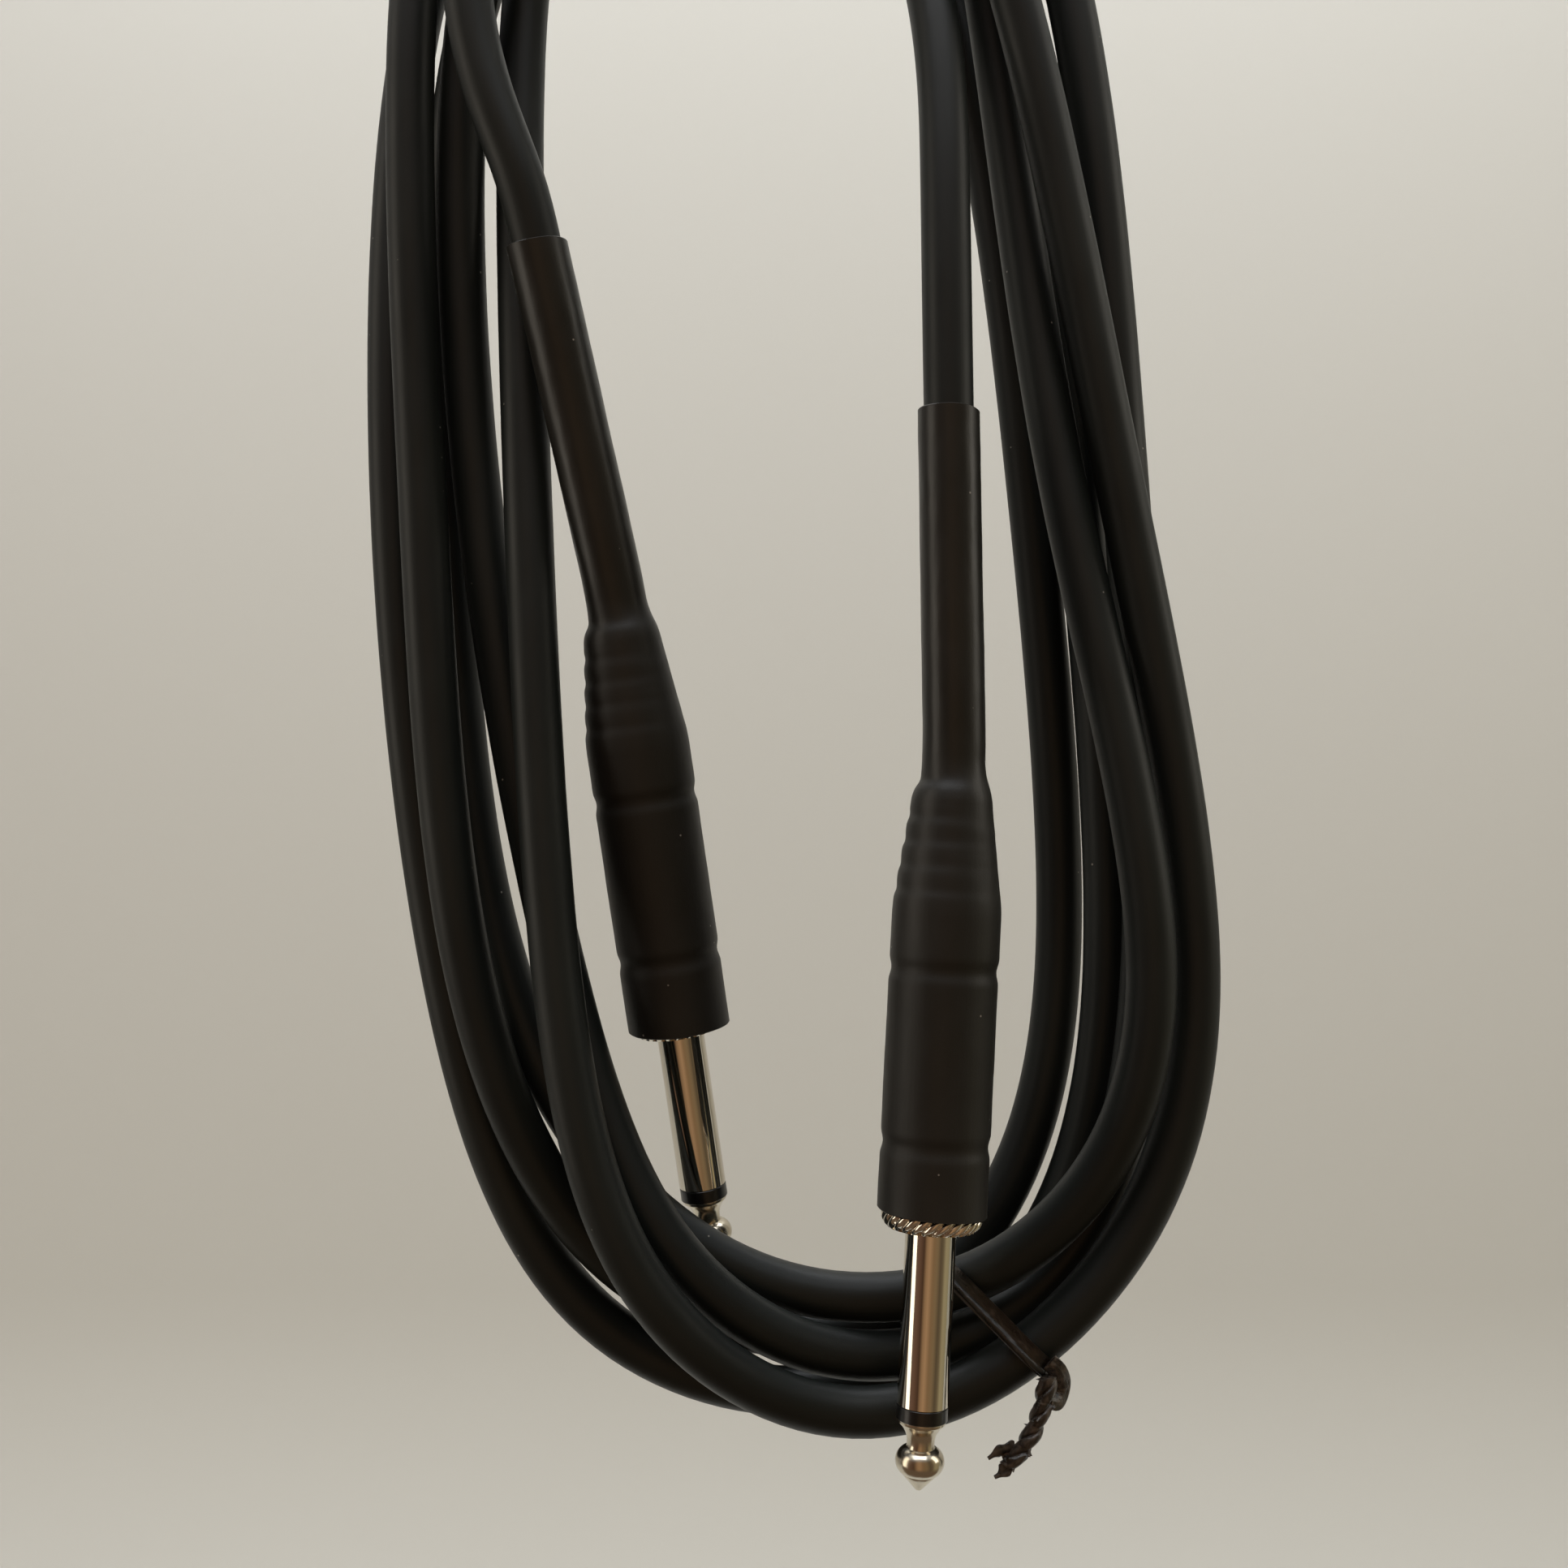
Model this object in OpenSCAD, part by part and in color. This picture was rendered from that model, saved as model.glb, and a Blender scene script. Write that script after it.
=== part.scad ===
// Instrument cable: a round lead with a two-pole 6.35 mm plug on each end, hung up in loose loops
// and held by a twist tie. The origin is under the top of the loops, where they hang on a peg.
// X is across the loops, Y goes away from the front, Z is up. Sizes are in millimetres.

/* [Cable] */
// Outside diameter of the jacket
cable_d = 6.4; // [5:0.1:6.8]
// Diameter of the insulated core inside the shield
core_d = 2.6; // [1.6:0.1:3]
// Diameter of the bare centre conductor
conductor_d = 0.9; // [0.5:0.1:1.2]
// Diameter of the shield twisted into a pigtail
pigtail_d = 1.4; // [0.8:0.1:1.6]

/* [Coil] */
// Half of the coil's width, at the middle of the strands
coil_half_w = 46; // [42:1:50]
// Half of the coil's height
coil_half_h = 121; // [115:1:125]
// Height of the coil's middle, below the peg
coil_mid_z = -102; // [-108:1:-96]
// Shift of the coil's middle across the peg
coil_mid_x = 6; // [2:1:10]
// How far the coil leans sideways for each millimetre down
coil_lean = 0.1; // [0:0.02:0.2]

/* [Plug contacts] */
// Diameter of the plug's sleeve contact
sleeve_d = 6.35; // [6:0.05:6.6]
// Length of the sleeve contact, from the flange to the insulating ring
sleeve_len = 21.7; // [18:0.1:24]
// Length of the insulating ring that shows
ring_len = 1.7; // [1:0.1:2.4]
// Length of the tip contact
tip_len = 8.6; // [8:0.1:9.4]
// Diameter of the tip contact's ball
ball_d = 6.1; // [5.6:0.1:6.3]
// Radius of the ball's rounded outline
ball_round = 1.8; // [1.5:0.1:2]
// Distance from the insulating ring to the middle of the ball
ball_drop = 5.1; // [4.8:0.1:5.3]
// Diameter of the flat on the tip's point
point_d = 1.1; // [0.8:0.1:2]
// Diameter of the waist that a jack's spring drops into
waist_d = 3.5; // [3.2:0.1:3.8]
// Distance from the insulating ring to the waist
waist_drop = 3; // [2.4:0.1:3.1]
// Width of the waist
waist_w = 0.4; // [0.2:0.05:0.5]
// Length of the collar between the insulating ring and the waist
collar_len = 0.4; // [0.2:0.05:0.5]
// How far the tip's collar stands back from the insulating ring
collar_back = 0.2; // [0.16:0.02:0.4]
// Diameter of the rod that joins the tip to its solder lug
rod_d = 2.3; // [1.8:0.1:2.6]
// Wall of the insulating tube round the rod
tube_wall = 0.9; // [0.5:0.1:1]

/* [Plug body] */
// Thickness of the knurled flange
flange_len = 2.7; // [2:0.1:3.5]
// Diameter of the threaded boss inside the barrel
boss_d = 9.8; // [9:0.1:10]
// Length of the threaded boss
boss_len = 6.3; // [4:0.1:8]
// Outside diameter of the barrel
barrel_d = 12.7; // [12:0.1:13.5]
// Length of the barrel's straight part
barrel_len = 36.5; // [34:0.1:42]
// Wall of the barrel
barrel_wall = 1.2; // [0.9:0.05:1.3]
// Length of the barrel's stepped tail
tail_len = 15.2; // [12:0.1:18]
// Outside diameter where the tail ends
tail_d = 8.7; // [8.2:0.1:10]
// Number of steps turned on the tail
tail_steps = 5; // [3:1:7]
// Depth of the groove that ends each step
step_groove = 0.3; // [0.1:0.05:0.5]
// Height of the lower finger groove above the flange
groove_low = 7.6; // [6:0.1:12]
// Height of the upper finger groove above the flange
groove_high = 29.2; // [26:0.1:33]
// Width of a finger groove
groove_w = 2.2; // [1:0.1:3]
// Depth of a finger groove
groove_depth = 0.3; // [0.1:0.05:0.5]

/* [Plug inside] */
// Thickness of the solder lugs
lug_t = 0.5; // [0.3:0.05:0.7]
// Width of the ground lug's strap
strap_w = 3.2; // [2:0.1:4]
// Width of the tip lug's tab
tab_w = 2.6; // [2:0.1:3.4]
// Length of the tip lug's tab
tab_len = 8.5; // [6:0.1:10]
// Thickness of the insulating washer under the tip lug
washer_t = 1.2; // [0.8:0.1:2]
// Height of the jacket's cut end above the flange's lower face
jacket_end = 25.5; // [24:0.1:27]
// Length of the clamp that grips the jacket
clamp_len = 6; // [4:0.1:8]
// Wall of the insulating liner inside the barrel
liner_wall = 0.35; // [0.2:0.05:0.4]
// Width of the solder on the tip lug
solder_tip_d = 2.2; // [2:0.1:2.6]
// Width of the solder on the ground lug
solder_ground_d = 2.8; // [2.6:0.1:3.2]
// Height of each solder joint
solder_h = 2.4; // [1.6:0.1:3]

/* [Heat shrink] */
// Wall of the sleeving over the barrel
shrink_wall = 0.45; // [0.3:0.05:0.7]
// Wall of the sleeving where it has shrunk on to the cable
shrink_tight_wall = 0.7; // [0.4:0.05:0.9]
// Length of the left sleeving along the cable, past the barrel's tail
shrink_past_left = 50.6; // [44:0.1:56]
// Length of the right sleeving along the cable, past the barrel's tail
shrink_past_right = 48.6; // [44:0.1:56]
// Length of the bend that the sleeving makes next to the barrel's tail
bend_len = 8; // [6:1:12]
// How much of the left plug's flange the sleeving covers
shrink_cover_left = 2.2; // [0.5:0.1:2.4]
// How much of the right plug's flange the sleeving covers
shrink_cover_right = 0.8; // [0.5:0.1:2.4]

/* [Twist tie] */
// Width of the tie's ribbon
tie_w = 2.6; // [2:0.1:4]
// Thickness of the tie's ribbon
tie_t = 0.6; // [0.5:0.05:0.8]
// Diameter of one end in the twisted tail
tie_end_d = 1.3; // [1:0.1:1.8]
// Length of the twisted tail
tie_tail_len = 13; // [8:1:20]
// Number of turns in the twisted tail
tie_turns = 5; // [3:1:6]
// Width and thickness of the tie's wire
tie_wire_size = 0.3; // [0.2:0.05:0.35]

/* [Fits] */
// Clearance between pieces that slide over each other
fit = 0.05; // [0.02:0.01:0.1]
// Clearance of the tie round the strands
tie_gap = 0.35; // [0.3:0.05:0.6]

/* [Hidden] */
$fn = 64;
bend_skin = 0.02;
bend_lap = 0.5;

black = "#1b1b1c";
soft_black = "#262423";
nickel = "#c9c4ba";
copper = "#b8693f";
tin = "#b9bcbe";
amber = "#8a5a2b";

// A plug's place: the middle of its flange's lower face, its lean sideways, its tilt away from
// the front and the angle that its sleeving bends through past the barrel. Then its sleeving's
// lengths, over the flange and along the cable.
plug_left = [[-6.1, 5, -173.1], -8, 8.2, 4.3, shrink_cover_left, shrink_past_left];
plug_right = [[26.3, -11, -195.8], 3.1, 0, 3.7, shrink_cover_right, shrink_past_right];

// Heights along a plug, from its flange's lower face.
flange_d = barrel_d;
boss_top = flange_len + boss_len;
barrel_top = flange_len + barrel_len;
tail_top = barrel_top + tail_len;
neck_len = 1;
bend_from = tail_top + neck_len;
cavity_d = barrel_d - 2 * barrel_wall;
tube_d = rod_d + 2 * fit + 2 * tube_wall;
lug_z = boss_top + lug_t;
washer_top = lug_z + washer_t;
rod_top = washer_top + 2 * lug_t;
liner_d = cavity_d - 2 * fit;
strap_x = liner_d / 2 - liner_wall - 3 * fit - lug_t;
clamp_d = cable_d + 2 * fit;
tab_x = rod_d / 2 + fit + 0.4;
core_x = tab_x - conductor_d / 2 - 0.1;
core_end = jacket_end - 6;
conductor_len = 5;
pigtail_x = -(cable_d - pigtail_d) / 2 + 0.1;
pigtail_len = 8;
solder_tip_z = core_end - conductor_len + 1.5;
solder_ground_z = jacket_end - pigtail_len + 1.5;
solder_top = 0.75;

// Turning a point with a plug's tilt and lean, then moving it to the plug's place.
function tilted(p, a) = [p.x, p.y * cos(a) - p.z * sin(a), p.y * sin(a) + p.z * cos(a)];
function leaned(p, a) = [p.x * cos(a) + p.z * sin(a), p.y, p.z * cos(a) - p.x * sin(a)];
function turned(plug, p) = leaned(tilted(p, plug[2]), plug[1]);
function bend_r(bend) = bend_len * 180 / (PI * bend);
function bend_end(bend) = [bend_r(bend) * (cos(bend) - 1), 0, bend_from + bend_r(bend) * sin(bend)];
function grip_len(plug) = plug[5] - neck_len - bend_len;
function exit_local(plug) = bend_end(plug[3]) + grip_len(plug) * [-sin(plug[3]), 0, cos(plug[3])];
function exit_of(plug) = plug[0] + turned(plug, exit_local(plug));
function exit_way(plug) = turned(plug, [-sin(plug[3]), 0, cos(plug[3])]);

// The route. Each turn of the coil passes twelve hours of a clock, from the top and round by the
// right. A turn's row says how far it lies outside the coil's oval at each hour, and its depth.
HOURS = 12;
reach = [
    [-9.5, -3.5, -2.5, 0, 12, 0, 4, -4, -8.5, -14, -15, -16],
    [6.5, 11.5, 8.5, 3, 3, -1, -3.5, -9.5, -8.5, -5, -6.5, -15],
    [-8, 3, 2.5, -2.5, -1, -4.5, 3.5, 9.5, 9, 7, 4, -1.5],
    [-1.5, -7, -6, -8.5, -6.5, -13, -3.5, 0.5, 5.5, 0, 0, -0.5],
    [2, 1.5, -5, -8.5, 5.5, -9.5, -12, -10.5, 3, 0, -3.5, -12.5],
    [-10]
];
depth = [
    [-10, -9, -8, -5, -3, -4, -2.5, -13.5, -8.5, -4, 2, 3.5],
    [4, 5, 2, 4, 0.5, 5, 0.5, -8, 0.5, 1.5, -1.5, -6],
    [-0.5, 5, 7, 9.5, 6, 12.5, 6.5, 5.5, 4.5, 4, 9, 13.5],
    [13.5, 12.5, 10, 11.5, 14.5, 12.5, 12.5, 5, -5, -2.5, -5.5, -1.5],
    [-4.5, -4.5, 1.5, -2.5, -10.5, -3, 4.5, 0.5, 5, 8.5, 7, 12],
    [10.5]
];
// The free ends' own points, between the plugs and the coil.
left_step = 10;
right_step = 28;
left_points = [[-33, -12, -46], [-34.5, -12, -15]];
right_points = [[18.5, 4.5, -1], [29, -6.5, -34]];

function power(v, e) = abs(v) < 0.001 ? 0 : sign(v) * pow(abs(v), e);
function oval_z(a) = coil_half_h * power(cos(a), 0.85);
function oval_x(a) = coil_half_w * power(sin(a), 0.5) - coil_lean * oval_z(a);
function outward(a) = [sin(a), 0.55 * cos(a)] / norm([sin(a), 0.55 * cos(a)]);
function coil_point(turn, hour) =
    let (a = 360 * hour / HOURS)
    let (out = outward(a) * reach[turn][hour])
    [coil_mid_x + oval_x(a) + out.x, depth[turn][hour], coil_mid_z + oval_z(a) + out.y];

left_exit = exit_of(plug_left);
left_way = exit_way(plug_left);
right_exit = exit_of(plug_right);
right_way = exit_way(plug_right);
route = concat(
    [for (k = [-1:1]) left_exit + k * left_step * left_way],
    left_points,
    [for (turn = [0:len(reach) - 1]) for (hour = [0:len(reach[turn]) - 1]) coil_point(turn, hour)],
    right_points,
    [for (k = [1:-1:-1]) right_exit + k * right_step * right_way]
);

// A smooth curve that the route's points pull on, its direction, and a round tube along it.
function pull(t) = [pow(1 - t, 3), 3 * pow(t, 3) - 6 * t * t + 4,
                    -3 * pow(t, 3) + 3 * t * t + 3 * t + 1, pow(t, 3)] / 6;
function slope(t) = [-pow(1 - t, 2), 3 * t * t - 4 * t, -3 * t * t + 2 * t + 1, t * t] / 2;
function span(u) = min(floor(u), len(route) - 4);
function blend(w, i) = w[0] * route[i] + w[1] * route[i + 1] + w[2] * route[i + 2] + w[3] * route[i + 3];
function curve(u) = blend(pull(u - span(u)), span(u));
function direction(u) = let (d = blend(slope(u - span(u)), span(u))) d / norm(d);
function ring_points(u, r, sides) =
    let (c = curve(u))
    let (across = cross(direction(u), [0, 1, 0]))
    let (n = across / norm(across))
    let (b = cross(n, direction(u)))
    [for (k = [0:sides - 1]) c + r * (n * cos(360 * k / sides) + b * sin(360 * k / sides))];

route_end = len(route) - 3;
coil_from = 2;
coil_to = route_end - 2;
ring_step = 0.5;

module tube(from, to, sides) {
    rings = round((to - from) / ring_step);
    points = [for (i = [0:rings]) each ring_points(from + i * ring_step, cable_d / 2, sides)];
    walls = [for (i = [0:rings - 1]) for (k = [0:sides - 1])
        let (a = i * sides + k)
        let (b = i * sides + (k + 1) % sides)
        each [[a, b, b + sides], [a, b + sides, a + sides]]];
    first_cap = [for (k = [1:sides - 2]) [0, k + 1, k]];
    last_cap = [for (k = [1:sides - 2]) [rings * sides, rings * sides + k, rings * sides + k + 1]];
    polyhedron(points, concat(walls, first_cap, last_cap));
}

// The least gap between strands, measured at four places on each straight run of the tube.
GAP_PARTS = 4;
function on_run(i) =
    let (u = coil_from + floor(i / GAP_PARTS) * ring_step)
    let (t = (i % GAP_PARTS) / GAP_PARTS)
    curve(u) * (1 - t) + curve(u + ring_step) * t;
function least_gap() =
    let (n = round((coil_to - coil_from) / ring_step) * GAP_PARTS)
    let (p = [for (i = [0:n - 1]) on_run(i)])
    min([for (i = [0:n - 1]) for (j = [i + 9:1:n - 1]) norm(p[i] - p[j])]) - cable_d;

module coil() {
    echo(least_gap_between_strands = least_gap());
    color(black) tube(coil_from, coil_to, 6);
}

module lead_left() {
    color(black) tube(0, coil_from, 8);
}

module lead_right() {
    color(black) tube(coil_to, route_end, 8);
}

// Plugs. Each piece is drawn with Z along the plug, from the flange's lower face to the cable.
module placed(plug) {
    translate(plug[0]) rotate([plug[2], plug[1], 0]) children();
}

module ring(outer_d, inner_d, from, to) {
    translate([0, 0, from]) difference() {
        cylinder(d = outer_d, h = to - from);
        translate([0, 0, -1]) cylinder(d = inner_d, h = to - from + 2);
    }
}

// A run along the cable past the neck: a disc or ring swept round the bend, then a straight length.
// The bend's wall is a hair thicker and the straight length starts inside it, so that the two join
// through each other and not edge to edge.
module bent_run(plug, outer_d, inner_d) {
    bend = plug[3];
    translate([-bend_r(bend), 0, bend_from]) rotate([90, 0, 0])
        rotate_extrude(angle = bend, $fn = 256) translate([bend_r(bend), 0]) difference() {
            circle(d = outer_d + bend_skin, $fn = 64);
            if (inner_d > 0) circle(d = inner_d - bend_skin, $fn = 64);
        }
    translate(bend_end(bend)) rotate([0, -bend, 0]) translate([0, 0, -bend_lap]) difference() {
        cylinder(d = outer_d, h = grip_len(plug) + bend_lap);
        if (inner_d > 0) translate([0, 0, -1]) cylinder(d = inner_d, h = grip_len(plug) + bend_lap + 2);
    }
}

// The tip contact's outline: blunt point, cone, ball, waist and collar.
module tip_outline() {
    tip_z = -sleeve_len - ring_len;
    ball_z = tip_z - ball_drop;
    ball_x = ball_d / 2 - ball_round;
    waist_z = tip_z - waist_drop;
    collar_r = sleeve_d / 2 - collar_back;
    polygon(concat(
        [[0, tip_z - tip_len], [point_d / 2, tip_z - tip_len]],
        [for (a = [-75:10:65]) [ball_x + ball_round * cos(a), ball_z + ball_round * sin(a)]],
        [[waist_d / 2, waist_z - waist_w], [waist_d / 2, waist_z], [collar_r, tip_z - collar_len],
         [collar_r, tip_z], [rod_d / 2, tip_z], [rod_d / 2, rod_top], [0, rod_top]]
    ));
}

module tip(plug) {
    color(nickel) placed(plug) rotate_extrude() tip_outline();
}

module front_insulator(plug) {
    color(black) placed(plug) {
        ring(sleeve_d, rod_d + 2 * fit, -sleeve_len - ring_len, -sleeve_len);
        ring(tube_d, rod_d + 2 * fit, -sleeve_len, boss_top);
    }
}

module sleeve(plug) {
    color(nickel) placed(plug) {
        ring(sleeve_d, tube_d + 2 * fit, -sleeve_len, 0);
        ring(flange_d, tube_d + 2 * fit, 0, flange_len);
        ring(boss_d, tube_d + 2 * fit, flange_len, boss_top);
    }
}

module washer(plug) {
    color(amber) placed(plug) ring(boss_d - 1, rod_d + 2 * fit, lug_z, washer_top);
}

module tip_lug(plug) {
    color(tin) placed(plug) {
        ring(rod_d + 3, rod_d + 2 * fit, washer_top, washer_top + lug_t);
        translate([tab_x, -tab_w / 2, washer_top]) cube([lug_t, tab_w, tab_len]);
    }
}

module ground_lug(plug) {
    color(tin) placed(plug) {
        ring(boss_d - 0.6, rod_d + 2, boss_top, lug_z);
        translate([-strap_x - lug_t, -strap_w / 2, boss_top])
            cube([lug_t, strap_w, jacket_end + 1 + clamp_len - boss_top]);
        translate([-strap_x - lug_t, -strap_w / 2, boss_top])
            cube([strap_x + lug_t - rod_d, strap_w, lug_t]);
        intersection() {
            ring(2 * strap_x + 2 * lug_t, clamp_d, jacket_end + 1, jacket_end + 1 + clamp_len);
            translate([-2 * strap_x + 1, -strap_x * 2, 0]) cube([2 * strap_x, strap_x * 4, barrel_top]);
        }
    }
}

// Outline of the barrel's outside, moved out by a wall: straight, with two finger grooves, then
// the stepped tail.
function groove_at(z, out) = [
    [barrel_d / 2 + out, z - groove_w / 2], [barrel_d / 2 + out - groove_depth, z - groove_w / 4],
    [barrel_d / 2 + out - groove_depth, z + groove_w / 4], [barrel_d / 2 + out, z + groove_w / 2]
];
function tail_r(k) = (barrel_d + (tail_d - barrel_d) * k / tail_steps) / 2;
function tail_z(k) = barrel_top + tail_len * k / tail_steps;
function tail_points(out) = [for (k = [0:tail_steps - 1]) each [
    [tail_r(k) + out, tail_z(k)],
    [tail_r(k + 0.5) + 0.1 + out, tail_z(k + 0.6)],
    [tail_r(k + 1) - step_groove * (k < tail_steps - 1 ? 1 : 0) + out, tail_z(k + 0.95)]
]];
function barrel_outline(from, out) = concat(
    [[barrel_d / 2 + out, from]],
    groove_at(flange_len + groove_low, out),
    groove_at(flange_len + groove_high, out),
    tail_points(out)
);

module barrel(plug) {
    color(nickel) placed(plug) rotate_extrude() polygon(concat(
        barrel_outline(flange_len, 0),
        [[tail_d / 2, tail_top], [cable_d / 2 + 2 * fit, tail_top],
         [cable_d / 2 + 2 * fit, barrel_top + 1], [cavity_d / 2, barrel_top - 1.5],
         [cavity_d / 2, flange_len]]
    ));
}

module liner(plug) {
    color("#d8d8d2") placed(plug)
        ring(liner_d, liner_d - 2 * liner_wall, boss_top + 0.5, barrel_top - 2);
}

module shrink(plug) {
    inner = fit;
    outer = fit + shrink_wall;
    tight_r = cable_d / 2 + fit;
    color(soft_black) placed(plug) {
        rotate_extrude() polygon(concat(
            barrel_outline(flange_len - plug[4], outer),
            [[tail_d / 2 + outer, tail_top], [tight_r + shrink_tight_wall, bend_from],
             [tight_r, bend_from], [tight_r, tail_top + fit], [tail_d / 2 + inner, tail_top + fit]],
            [for (i = [len(barrel_outline(0, 0)) - 1:-1:0])
                barrel_outline(flange_len - plug[4], inner)[i]]
        ));
        bent_run(plug, 2 * (tight_r + shrink_tight_wall), 2 * tight_r);
    }
}

// The cable inside the plug: jacket, insulated core with its bare end, and the shield's pigtail.
module cable_end(plug) {
    color(black) placed(plug) {
        translate([0, 0, jacket_end]) cylinder(d = cable_d, h = bend_from - jacket_end);
        bent_run(plug, cable_d, 0);
    }
}

module bare_end() {
    translate([core_x, 0, core_end - conductor_len]) cylinder(d = conductor_d, h = conductor_len);
}

module core(plug) {
    color("white") placed(plug) {
        translate([core_x, 0, core_end]) cylinder(d = core_d, h = jacket_end - core_end);
        bare_end();
    }
}

module pigtail_rod() {
    translate([pigtail_x, 0, jacket_end - pigtail_len]) cylinder(d = pigtail_d, h = pigtail_len);
}

module pigtail(plug) {
    color(copper) placed(plug) pigtail_rod();
}

// Solder that has risen round a wire, thinner at its top.
module fillet(x, z, d, h) {
    translate([x, 0, z - h / 2]) cylinder(d1 = d, d2 = solder_top * d, h = h);
}

module solder_tip(plug) {
    color(tin) placed(plug) difference() {
        fillet(tab_x - 0.5, solder_tip_z, solder_tip_d, solder_h);
        bare_end();
        translate([tab_x, -tab_w, washer_top]) cube([3, 2 * tab_w, tab_len]);
    }
}

module solder_ground(plug) {
    color(tin) placed(plug) difference() {
        fillet(-strap_x + 0.5, solder_ground_z, solder_ground_d, solder_h);
        pigtail_rod();
        translate([-strap_x - 3, -strap_w, boss_top]) cube([3, 2 * strap_w, barrel_len]);
    }
}

// The tie lies square across the strands, where they run side by side at the coil's lower right.
tie_at = [37.7, 0, -211.2];
tie_slope = 43;
tie_tail_slope = 27;
tie_tail_side = 60;
first_hour = 3;
last_hour = 6;
function along_tie(p) = let (q = p - tie_at) [q.x * cos(tie_slope) - q.z * sin(tie_slope), q.y];
function off_tie(p) = let (q = p - tie_at) abs(q.x * sin(tie_slope) + q.z * cos(tie_slope));
function crossing(turn) =
    let (base = len(left_points) + 2 + HOURS * turn)
    let (p = [for (h = [first_hour:0.05:last_hour]) curve(base + h)])
    let (off = [for (q = p) off_tie(q)])
    along_tie(p[search(min(off), off)[0]]);
strands = [for (turn = [0:len(reach) - 2]) crossing(turn)];
function from_tie(t, y) = tie_at + [t * cos(tie_slope), y, -t * sin(tie_slope)];
tie_tail_out = cable_d / 2 + tie_gap + tie_end_d;
tie_tail_at = from_tie(strands[0].x + tie_tail_out * cos(tie_tail_side),
                       strands[0].y - tie_tail_out * sin(tie_tail_side));

module round_strands(out) {
    hull() for (s = strands) translate(s) circle(d = cable_d + 2 * (tie_gap + out), $fn = 24);
}

module tie_band(from, to, w) {
    translate(tie_at) rotate([0, tie_slope, 0]) linear_extrude(height = w, center = true) difference() {
        round_strands(to);
        round_strands(from);
    }
}

module tie_cover() {
    wire_in = (tie_t - tie_wire_size) / 2;
    color(soft_black) {
        difference() {
            tie_band(0, tie_t, tie_w);
            tie_band(wire_in - fit / 2, tie_t - wire_in + fit / 2, tie_wire_size + fit);
        }
        translate(tie_tail_at) rotate([0, 180 + tie_tail_slope, 0])
            linear_extrude(height = tie_tail_len, twist = 360 * tie_turns, slices = 8 * tie_turns, $fn = 8)
                for (side = [-1, 1]) translate([side * tie_end_d * 0.45, 0]) circle(d = tie_end_d, $fn = 6);
    }
}

module tie_wire() {
    wire_in = (tie_t - tie_wire_size) / 2;
    color(tin) tie_band(wire_in, tie_t - wire_in, tie_wire_size);
}

coil();
lead_left();
lead_right();
tip(plug_left);  // tip_left
tip(plug_right);  // tip_right
front_insulator(plug_left);  // front_insulator_left
front_insulator(plug_right);  // front_insulator_right
sleeve(plug_left);  // sleeve_left
sleeve(plug_right);  // sleeve_right
washer(plug_left);  // washer_left
washer(plug_right);  // washer_right
tip_lug(plug_left);  // tip_lug_left
tip_lug(plug_right);  // tip_lug_right
ground_lug(plug_left);  // ground_lug_left
ground_lug(plug_right);  // ground_lug_right
barrel(plug_left);  // barrel_left
barrel(plug_right);  // barrel_right
liner(plug_left);  // liner_left
liner(plug_right);  // liner_right
shrink(plug_left);  // shrink_left
shrink(plug_right);  // shrink_right
cable_end(plug_left);  // cable_end_left
cable_end(plug_right);  // cable_end_right
core(plug_left);  // core_left
core(plug_right);  // core_right
pigtail(plug_left);  // pigtail_left
pigtail(plug_right);  // pigtail_right
solder_tip(plug_left);  // solder_tip_left
solder_tip(plug_right);  // solder_tip_right
solder_ground(plug_left);  // solder_ground_left
solder_ground(plug_right);  // solder_ground_right
tie_cover();
tie_wire();
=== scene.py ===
# %% [markdown]
# # An instrument cable, hung up in five loose loops
#
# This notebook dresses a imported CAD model: a black cable with a quarter-inch plug on each end.
# The CAD model says where every piece is and how big it is. Here what shows gets the shape that the
# eye sees, every piece gets a finish, and nothing is moved. Blender works in metres, and cable
# makers work in millimetres, so the sizes below are in millimetres and turn into metres where a mesh
# is made.

# %% Load the frame
from collections import namedtuple
from math import ceil, cos, exp, pi, radians, sin, tau

import bpy
from mathutils import Matrix, Vector, noise


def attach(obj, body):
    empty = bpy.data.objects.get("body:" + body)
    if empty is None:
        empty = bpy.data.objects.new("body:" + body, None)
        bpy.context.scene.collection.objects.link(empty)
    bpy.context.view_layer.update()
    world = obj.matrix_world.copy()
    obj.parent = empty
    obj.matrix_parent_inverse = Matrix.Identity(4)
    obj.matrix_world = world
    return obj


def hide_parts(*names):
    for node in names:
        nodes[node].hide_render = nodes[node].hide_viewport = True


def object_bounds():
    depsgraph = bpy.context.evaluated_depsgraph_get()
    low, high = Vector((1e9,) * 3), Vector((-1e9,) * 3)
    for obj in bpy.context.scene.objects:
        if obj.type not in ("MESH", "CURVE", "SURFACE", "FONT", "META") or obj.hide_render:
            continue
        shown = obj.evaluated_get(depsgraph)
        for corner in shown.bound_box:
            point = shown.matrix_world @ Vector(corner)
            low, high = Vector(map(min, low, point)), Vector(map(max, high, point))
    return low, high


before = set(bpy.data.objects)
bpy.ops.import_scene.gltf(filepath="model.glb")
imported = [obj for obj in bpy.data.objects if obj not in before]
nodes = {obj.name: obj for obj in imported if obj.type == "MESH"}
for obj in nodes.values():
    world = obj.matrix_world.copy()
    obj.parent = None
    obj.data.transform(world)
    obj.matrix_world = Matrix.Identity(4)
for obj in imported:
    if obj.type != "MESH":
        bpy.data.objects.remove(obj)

MM = 0.001
CAD_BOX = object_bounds()
print(len(nodes), "solids in a box of", [round((b - a) / MM) for a, b in zip(*CAD_BOX)], "mm")

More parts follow.
